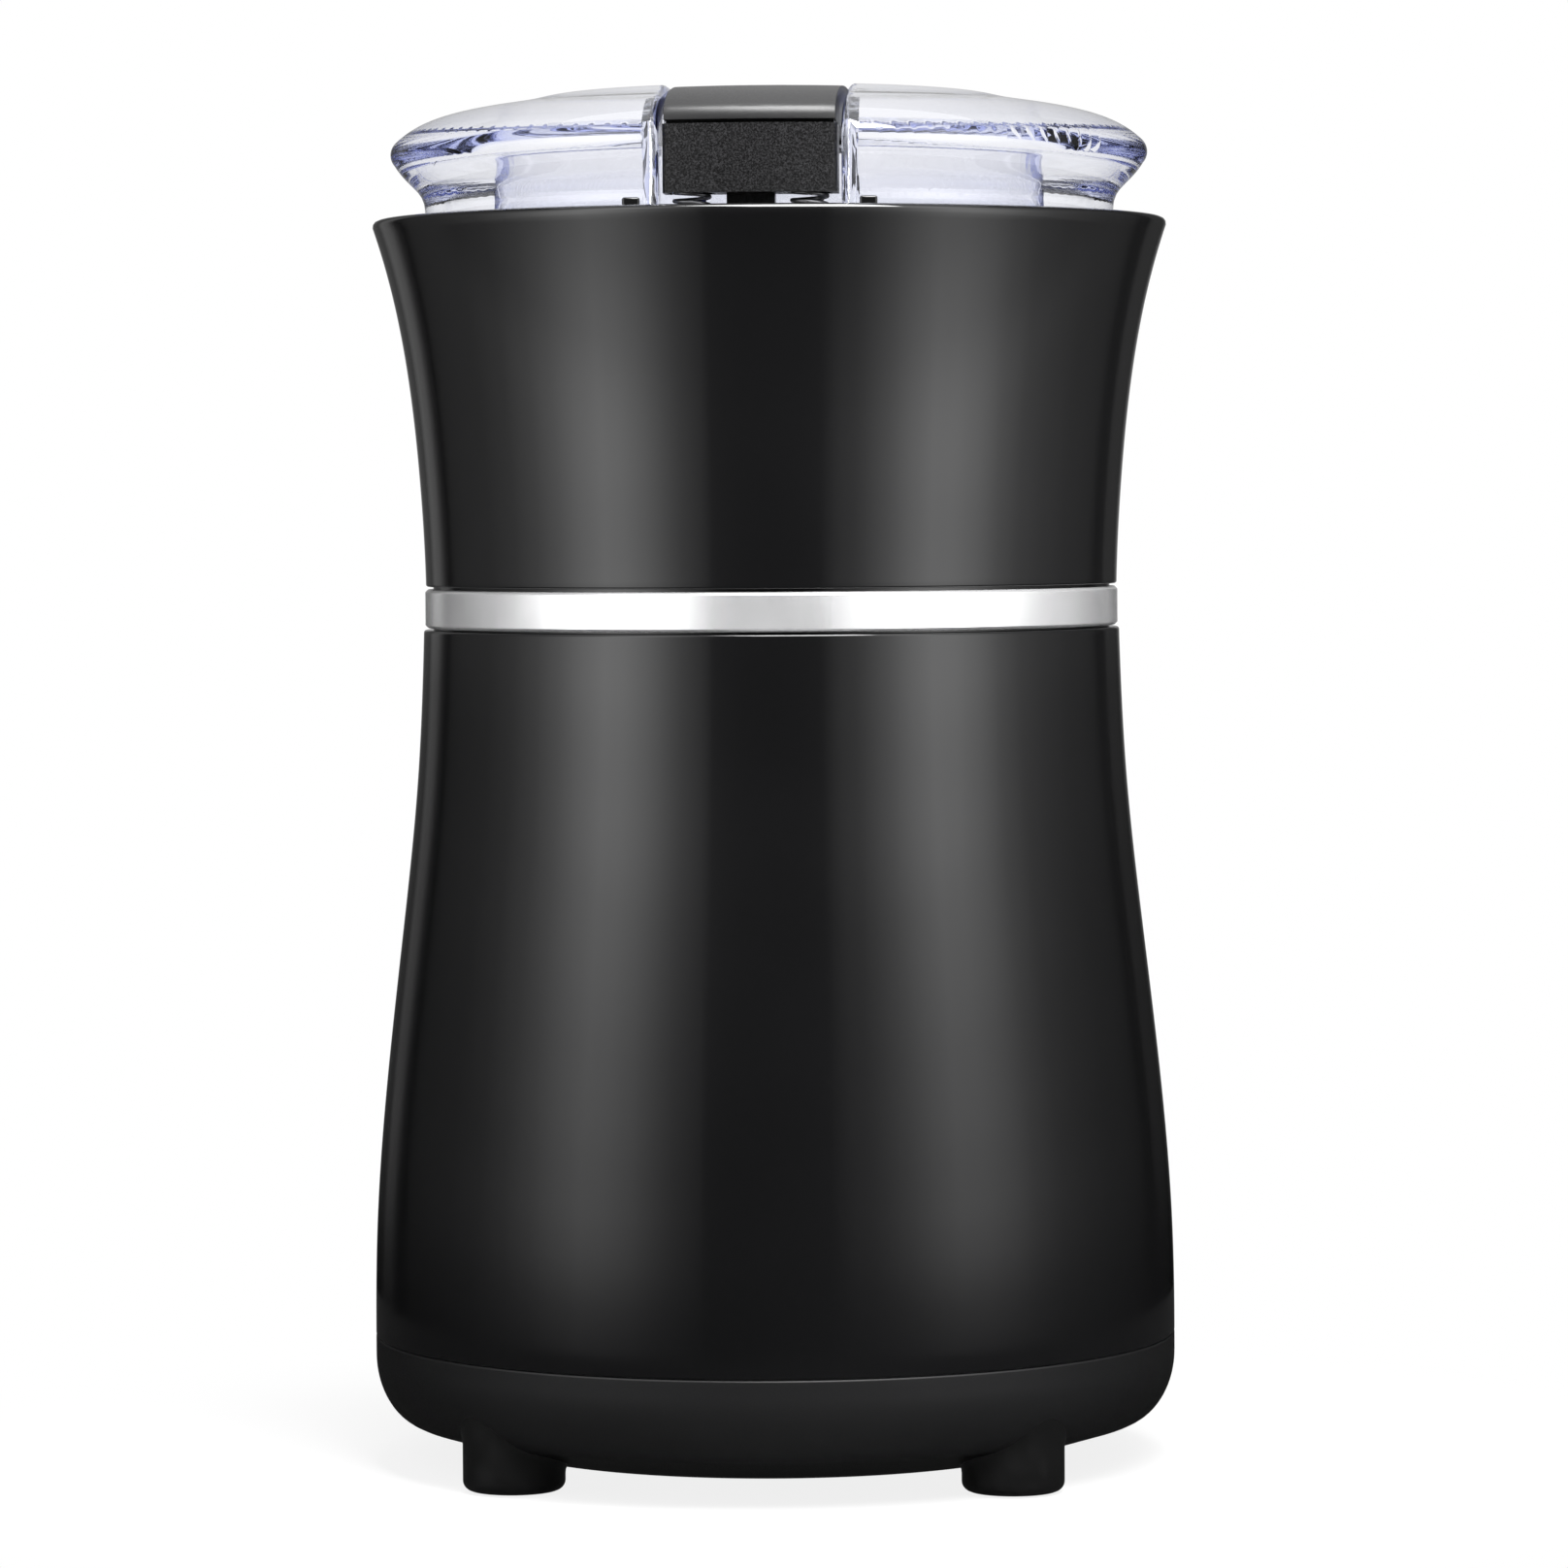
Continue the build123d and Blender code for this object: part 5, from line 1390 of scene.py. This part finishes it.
# ---- push rod and switch --------------------------------------------------
class GRINDER_OT_switch_gear(Operator):
    """Build the push rod, the switch, its lever and its plunger"""
    bl_idname = "grinder.switch_gear"
    bl_label = "Build push rod and switch"

    def execute(self, context):
        stem = [(2.13, 142.95, 0.15), (1.5, 142.95), (1.5, 150.4), (2.5, 150.4, 0.2), (2.5, 154.6, 0.4)]
        rod = eased(arc((0, 143.6), 2.2, -90, -20, 7) + stem + [(0, 154.6)])
        seated(turned("key_rod", rod, 64, at(0, ROD_Y)), "push_rod")
        seated(softened("snap_switch", "switch_body", 0.12), "switch_body")
        seated(softened("snap_lever", "switch_lever", 0.06), "switch_lever")
        seated(softened("snap_plunger", "switch_plunger", 0.12, 3), "switch_plunger")
        return {"FINISHED"}


# ---- screws ---------------------------------------------------------------
def screw(name, head_r, head_height, shank_r, length, pitch):
    """Cross-recessed screw with its head up and its seat at z 0."""
    outline = [(0, head_height), (head_r * 0.55, head_height, 0.3)]
    outline += [(head_r, head_height * 0.45, head_height * 0.3), (head_r, 0), (shank_r, 0)]
    height = 0.0
    while height > -length + 1.2:
        outline += [(shank_r, height - 0.15 * pitch), (shank_r * 0.8, height - pitch * 0.5)]
        outline += [(shank_r, height - pitch * 0.85)]
        height -= pitch
    outline += [(shank_r * 0.75, -length + 0.3), (shank_r * 0.45, -length), (0, -length)]
    piece = turned(name, eased(outline), 32)
    recess = bmesh.new()
    arm, deep, width = head_r * 0.55, head_height * 0.5, head_r * 0.13
    for x, y in ((arm, width), (width, arm)):
        box_shape(recess, (-x, x), (-y, y), (head_height - deep, head_height + 1))
    return combined(piece, from_bmesh("recess", recess), "DIFFERENCE")


def circle_spots(radius, height, angles, lead):
    """Spots on a circle at a height, each turned by its angle and a lead in degrees."""
    return [(*on_circle(radius, angle), height, angle + lead) for angle in angles]


class GRINDER_OT_screws(Operator):
    """Build every screw and bolt"""
    bl_idname = "grinder.screws"
    bl_label = "Build screws"

    def execute(self, context):
        bolts = [(x, y, 19.0, 30 * k) for k, (x, y) in enumerate(BOLTS)]
        pair = [(x, -35.25, SWITCH_SCREWS_Z, 0) for x in SWITCH_SCREWS_X]
        for name, node, one, sizes, quarters, spots in (
            ("pan_screws", "base_screws", "pan_screw", (2.9, 2.2, 1.49, 15.4, 1.0), 2,
             circle_spots(BASE_SCREW_CIRCLE_R, 9.5, BASE_SCREW_ANGLES, 20)),
            ("casing_screws", "housing_screws", "casing_screw", (2.6, 2.0, 1.24, 11.0, 0.9), 2,
             circle_spots(HOUSING_SCREW_CIRCLE_R, FLANGE_Z[0], HOUSING_SCREW_ANGLES, 10)),
            ("damper_screws", "motor_mount_screws", "damper_screw", (2.8, 2.2, 1.49, 10.45, 0.9), 2,
             circle_spots(DAMPER_CIRCLE_R, 92.5, DAMPER_ANGLES, 35)),
            ("clamp_bolts", "stator_bolts", "clamp_bolt", (2.8, 2.2, 1.49, 76.4, 1.4), 2, bolts),
            ("switch_screw_pair", "switch_screws", "switch_screw", (1.8, 0.8, 0.94, 7.05, 0.7), -1, pair),
        ):
            shape = screw(one, *sizes)
            shape.data.transform(Matrix.Rotation(quarters * pi / 2, 4, "X"))
            seated(copies(name, shape, spots, finish("zinc_steel")), node)
        return {"FINISHED"}


# ---- motor ----------------------------------------------------------------
class GRINDER_OT_motor(Operator):
    """Build the brackets, bushes, brush gear, fan and commutator"""
    bl_idname = "grinder.motor"
    bl_label = "Build motor"

    def execute(self, context):
        for name, node, width in (
            ("lower_plate", "lower_bracket", 0.3), ("upper_plate", "upper_bracket", 0.3),
            ("lower_bush", "lower_bearing", 0.2), ("upper_bush", "upper_bearing", 0.2),
            ("card", "brush_card", 0.15), ("holder_left", "brush_holder_left", 0.15),
            ("holder_right", "brush_holder_right", 0.15), ("carbon_left", "brush_left", 0.15),
            ("carbon_right", "brush_right", 0.15), ("cutout_case", "thermal_cutout", 0.4),
            ("connector", "terminal_block", 0.3), ("fan", "cooling_fan", 0.2),
            ("segments", "commutator", 0.08),
            ("front_coil", "field_coil_front", 0.8), ("rear_coil", "field_coil_rear", 0.8),
            ("damper_front", "motor_damper_1", 0.4), ("damper_left", "motor_damper_2", 0.4),
            ("damper_right", "motor_damper_3", 0.4),
        ):
            seated(softened(name, node, width), node)
        return {"FINISHED"}


class GRINDER_OT_inner_finishes(Operator):
    """Give every CAD piece that still shows its finish"""
    bl_idname = "grinder.inner_finishes"
    bl_label = "Finish remaining pieces"

    def execute(self, context):
        for node, piece in frame["nodes"].items():
            if piece.hide_render:
                continue
            piece.data.materials.clear()
            piece.data.materials.append(finish(SLOT_OF[node]))
        return {"FINISHED"}


# ---- studio ---------------------------------------------------------------
# Lengths of the studio are metres.
# Brightness of the light wall by azimuth in degrees, from the camera's side round to either side.
WALL_RIGHT = (
    (0, 0.03), (8, 0.04), (14, 0.07), (17, 0.26), (20, 0.43), (24, 0.55), (28, 0.84), (34, 1.4),
    (41, 2.25), (48, 2.88), (55, 2.72), (63, 2.05), (71, 1.18), (80, 0.62), (90, 0.36), (102, 0.19),
    (118, 0.09), (124, 0.03), (130, 0.03), (134, 0.08), (150, 0.04), (168, 0.45), (180, 0.55),
)
WALL_LEFT = (
    (0, 0.03), (8, 0.04), (14, 0.08), (17, 0.13), (19, 0.36), (22, 0.55), (26, 0.83), (30, 1.25),
    (37, 2.15), (44, 2.8), (50, 2.95), (58, 2.25), (66, 1.4), (74, 0.82), (84, 0.42), (96, 0.22),
    (118, 0.08), (122, 0.02), (126, 0.06), (132, 0.25), (138, 0.25), (143, 0.09), (154, 0.09),
    (168, 0.45), (180, 0.55),
)
WALL_HEIGHTS = (
    (-0.05, 0.05), (0.0, 0.06), (0.005, 0.105), (0.011, 0.15), (0.0165, 0.22), (0.0245, 0.32),
    (0.037, 0.42), (0.049, 0.45), (0.06, 0.51), (0.073, 0.55), (0.085, 0.64), (0.095, 0.71), (0.10, 0.85),
    (0.104, 1.0), (0.45, 1.0),
)
WALL_R = 0.20
WALL_BOTTOM = -0.05
WALL_TOP = 0.45
WALL_STEPS = 128
FLOOR_R = 1.6
FLOOR_Z = -0.0002
FLOOR_STEPS = 96
LAMP_SIZE = (0.16, 0.36)
LAMP_PLACE = Vector((0.055, -0.15, 0.355))
LAMP_AIM = Vector((0.0, -0.04, 0.166))
WALL_PEAK = 2.95


def wall_ramp(tree, value, stops, low, high, scale):
    """Colour ramp used as a brightness curve over a range."""
    made = tree.nodes.new("ShaderNodeValToRGB")
    ramp = made.color_ramp
    while len(ramp.elements) > 1:
        ramp.elements.remove(ramp.elements[-1])
    for k, (spot, level) in enumerate(stops):
        place = (spot - low) / (high - low)
        element = ramp.elements[0] if k == 0 else ramp.elements.new(place)
        element.position = place
        element.color = (level / scale, level / scale, level / scale, 1.0)
    feed(tree, made.inputs[0], stepped(tree, value, low, high, 0.0, 1.0, smooth=False))
    return made.outputs[0]


def bare_material(name):
    """New material and its empty tree."""
    material = bpy.data.materials.new(name)
    material.use_nodes = True
    material.node_tree.nodes.clear()
    return material, material.node_tree


def mixed(tree, factor, first, second):
    """Mixes two shaders by a factor."""
    made = tree.nodes.new("ShaderNodeMixShader")
    for target, source in zip(made.inputs, (factor, first, second)):
        feed(tree, target, source)
    return made.outputs[0]


def glow(tree, strength):
    """White light of a strength."""
    return wired(tree, "ShaderNodeEmission", Strength=strength)[0]


def light_wall_material(studio):
    """Glow of the round light wall, bright at two soft places and dark before the key."""
    material, tree = bare_material("light_wall")
    x, y, z = parts_of(tree, object_point(tree))
    azimuth = maths(tree, "ARCTAN2", x, product(tree, y, -1.0))
    azimuth = maths(tree, "WRAP", maths(tree, "SUBTRACT", azimuth, studio.camera_turn), pi, -pi)
    azimuth = product(tree, azimuth, 180 / pi)
    right = wall_ramp(tree, azimuth, WALL_RIGHT, 0, 180, WALL_PEAK)
    left = wall_ramp(tree, product(tree, azimuth, -1.0), WALL_LEFT, 0, 180, WALL_PEAK)
    level = blend_colour(tree, maths(tree, "GREATER_THAN", azimuth, 0.0), left, right)
    fade = wall_ramp(tree, z, WALL_HEIGHTS, WALL_BOTTOM, WALL_TOP, 1.0)
    light = glow(tree, product(tree, level, fade, studio.wall_light))
    wired(tree, "ShaderNodeOutputMaterial", Surface=light)
    return material


def floor_material(studio):
    """Pale floor that keeps the shadow near the object and fades into the white backdrop; glossy rays see it
    as a dim glow, a painted dark reflection.
    """
    material, tree = bare_material("pale_floor")
    length = add_node(tree, "ShaderNodeVectorMath", operation="LENGTH")
    feed(tree, length.inputs[0], object_point(tree))
    near = stepped(tree, length.outputs["Value"], 0.05, 0.12, 0.15, 0.0)
    tone = blend_colour(tree, patches(tree, 6.0, 2.0), shade_of(studio.floor, 0.98), tuple(studio.floor))
    paths = wired(tree, "ShaderNodeLightPath")
    seen = product(tree, paths["Is Camera Ray"], maths(tree, "SUBTRACT", 1.0, near))
    look = mixed(tree, seen, wired(tree, "ShaderNodeBsdfDiffuse", Color=tone)[0], glow(tree, 1.0))
    # painted dark reflection: glossy rays see the floor as a dim glow instead of its lit pale colour
    look = mixed(tree, paths["Is Glossy Ray"], look, glow(tree, studio.floor_gloss))
    wired(tree, "ShaderNodeOutputMaterial", Surface=look)
    return material


def white_world():
    """White to the eye and to glass and metal, softer as a light."""
    world = bpy.data.worlds.new("white_room")
    bpy.context.scene.world = world
    world.use_nodes = True
    tree = world.node_tree
    paths = wired(tree, "ShaderNodeLightPath")
    seen = total(tree, paths["Is Camera Ray"], paths["Is Glossy Ray"])
    seen = maths(tree, "ADD", seen, paths["Is Transmission Ray"], clamp=True)
    back = tree.nodes["Background"]
    back.inputs["Color"].default_value = (1.0, 1.0, 1.0, 1.0)
    feed(tree, back.inputs["Strength"], stepped(tree, seen, 0.0, 1.0, 0.6, 1.0, smooth=False))


def light_wall(studio):
    """Round wall of light that the camera, glass and shadows don't see; reflections and diffuse light see it.
    """
    shape = bmesh.new()
    low, high = (
        [shape.verts.new((WALL_R * sin(turn), -WALL_R * cos(turn), z)) for turn in full_turn(WALL_STEPS)]
        for z in (WALL_BOTTOM, WALL_TOP)
    )
    for k in range(WALL_STEPS):
        following = (k + 1) % WALL_STEPS
        shape.faces.new((low[following], low[k], high[k], high[following]))
    wall = kept("light_wall", shape)
    wall.data.materials.append(light_wall_material(studio))
    wall.visible_camera = wall.visible_transmission = wall.visible_shadow = False
    return wall


def pale_floor(studio):
    """Round floor just under the feet."""
    mesh = bpy.data.meshes.new("floor")
    rim = [(FLOOR_R * cos(turn), FLOOR_R * sin(turn), FLOOR_Z) for turn in full_turn(FLOOR_STEPS)]
    mesh.from_pydata(rim, [], [list(range(FLOOR_STEPS))])
    floor = new_object("floor", mesh)
    floor.data.materials.append(floor_material(studio))
    floor.visible_transmission = False
    return floor


def top_lamp(studio):
    """Long lamp over the front of the object."""
    data = bpy.data.lights.new("top_lamp", "AREA")
    data.shape = "RECTANGLE"
    data.size, data.size_y = LAMP_SIZE
    data.energy = studio.top_light
    lamp = new_object("top_lamp", data)
    turn = (LAMP_AIM - LAMP_PLACE).to_track_quat("-Z", "Y")
    lamp.matrix_world = Matrix.Translation(LAMP_PLACE) @ turn.to_matrix().to_4x4()
    lamp.visible_camera = lamp.visible_transmission = False


class GRINDER_OT_studio(Operator):
    """Build the camera, the light walls, the lamp and the floor"""
    bl_idname = "grinder.studio"
    bl_label = "Build studio"

    def execute(self, context):
        studio = context.scene.grinder_studio
        white_world()
        light_wall(studio)
        pale_floor(studio)
        top_lamp(studio)
        self.camera(context, studio)
        context.scene.view_settings.view_transform = "Standard"
        cycles = context.scene.cycles
        cycles.max_bounces, cycles.glossy_bounces, cycles.transmission_bounces = 64, 32, 64
        return {"FINISHED"}

    def camera(self, context, studio):
        """Camera at the object's front, a little to the right and above its middle."""
        data = bpy.data.cameras.new("camera")
        data.lens = studio.lens
        data.sensor_width = 36
        camera = context.scene.camera = new_object("camera", data)
        turn = Matrix.Rotation(studio.camera_turn, 4, "Z")
        eye = turn @ Vector((0, -studio.camera_distance, studio.camera_height))
        pose = turn @ Matrix.Rotation(-studio.camera_yaw, 4, "Z")
        pose = pose @ Matrix.Rotation(pi / 2 - studio.camera_pitch, 4, "X")
        camera.matrix_world = Matrix.Translation(eye) @ pose @ Matrix.Rotation(studio.camera_roll, 4, "Z")


class GRINDER_PT_panel(Panel):
    """Lists the settings and the build steps"""
    bl_label = "Spice Grinder"
    bl_idname = "GRINDER_PT_panel"
    bl_space_type = "VIEW_3D"
    bl_region_type = "UI"
    bl_category = "Grinder"

    def draw(self, context):
        scene = context.scene
        for settings in (scene.grinder_sizes, scene.grinder_colours, scene.grinder_studio):
            column = self.layout.column()
            for label in settings.__annotations__:
                column.prop(settings, label)
        for operator in BUILD_STEPS:
            self.layout.operator(operator.bl_idname)


BUILD_STEPS = (
    GRINDER_OT_studio, GRINDER_OT_casing, GRINDER_OT_rubber_parts, GRINDER_OT_lid, GRINDER_OT_key,
    GRINDER_OT_springs, GRINDER_OT_bowl, GRINDER_OT_blade, GRINDER_OT_switch_gear, GRINDER_OT_screws,
    GRINDER_OT_motor, GRINDER_OT_inner_finishes,
)
SETTINGS = (GrinderSizes, GrinderColours, GrinderStudio)


def register():
    """Registers the settings, the build steps and the panel."""
    for item in SETTINGS + BUILD_STEPS + (GRINDER_PT_panel,):
        bpy.utils.register_class(item)
    bpy.types.Scene.grinder_sizes = PointerProperty(type=GrinderSizes)
    bpy.types.Scene.grinder_colours = PointerProperty(type=GrinderColours)
    bpy.types.Scene.grinder_studio = PointerProperty(type=GrinderStudio)


def unregister():
    """Removes what register added."""
    del bpy.types.Scene.grinder_studio
    del bpy.types.Scene.grinder_colours
    del bpy.types.Scene.grinder_sizes
    for item in reversed(SETTINGS + BUILD_STEPS + (GRINDER_PT_panel,)):
        bpy.utils.unregister_class(item)


def main():
    """Builds the whole grinder and its studio."""
    register()
    for step in BUILD_STEPS:
        group, action = step.bl_idname.split(".")
        getattr(getattr(bpy.ops, group), action)()


if __name__ == "__main__":
    main()
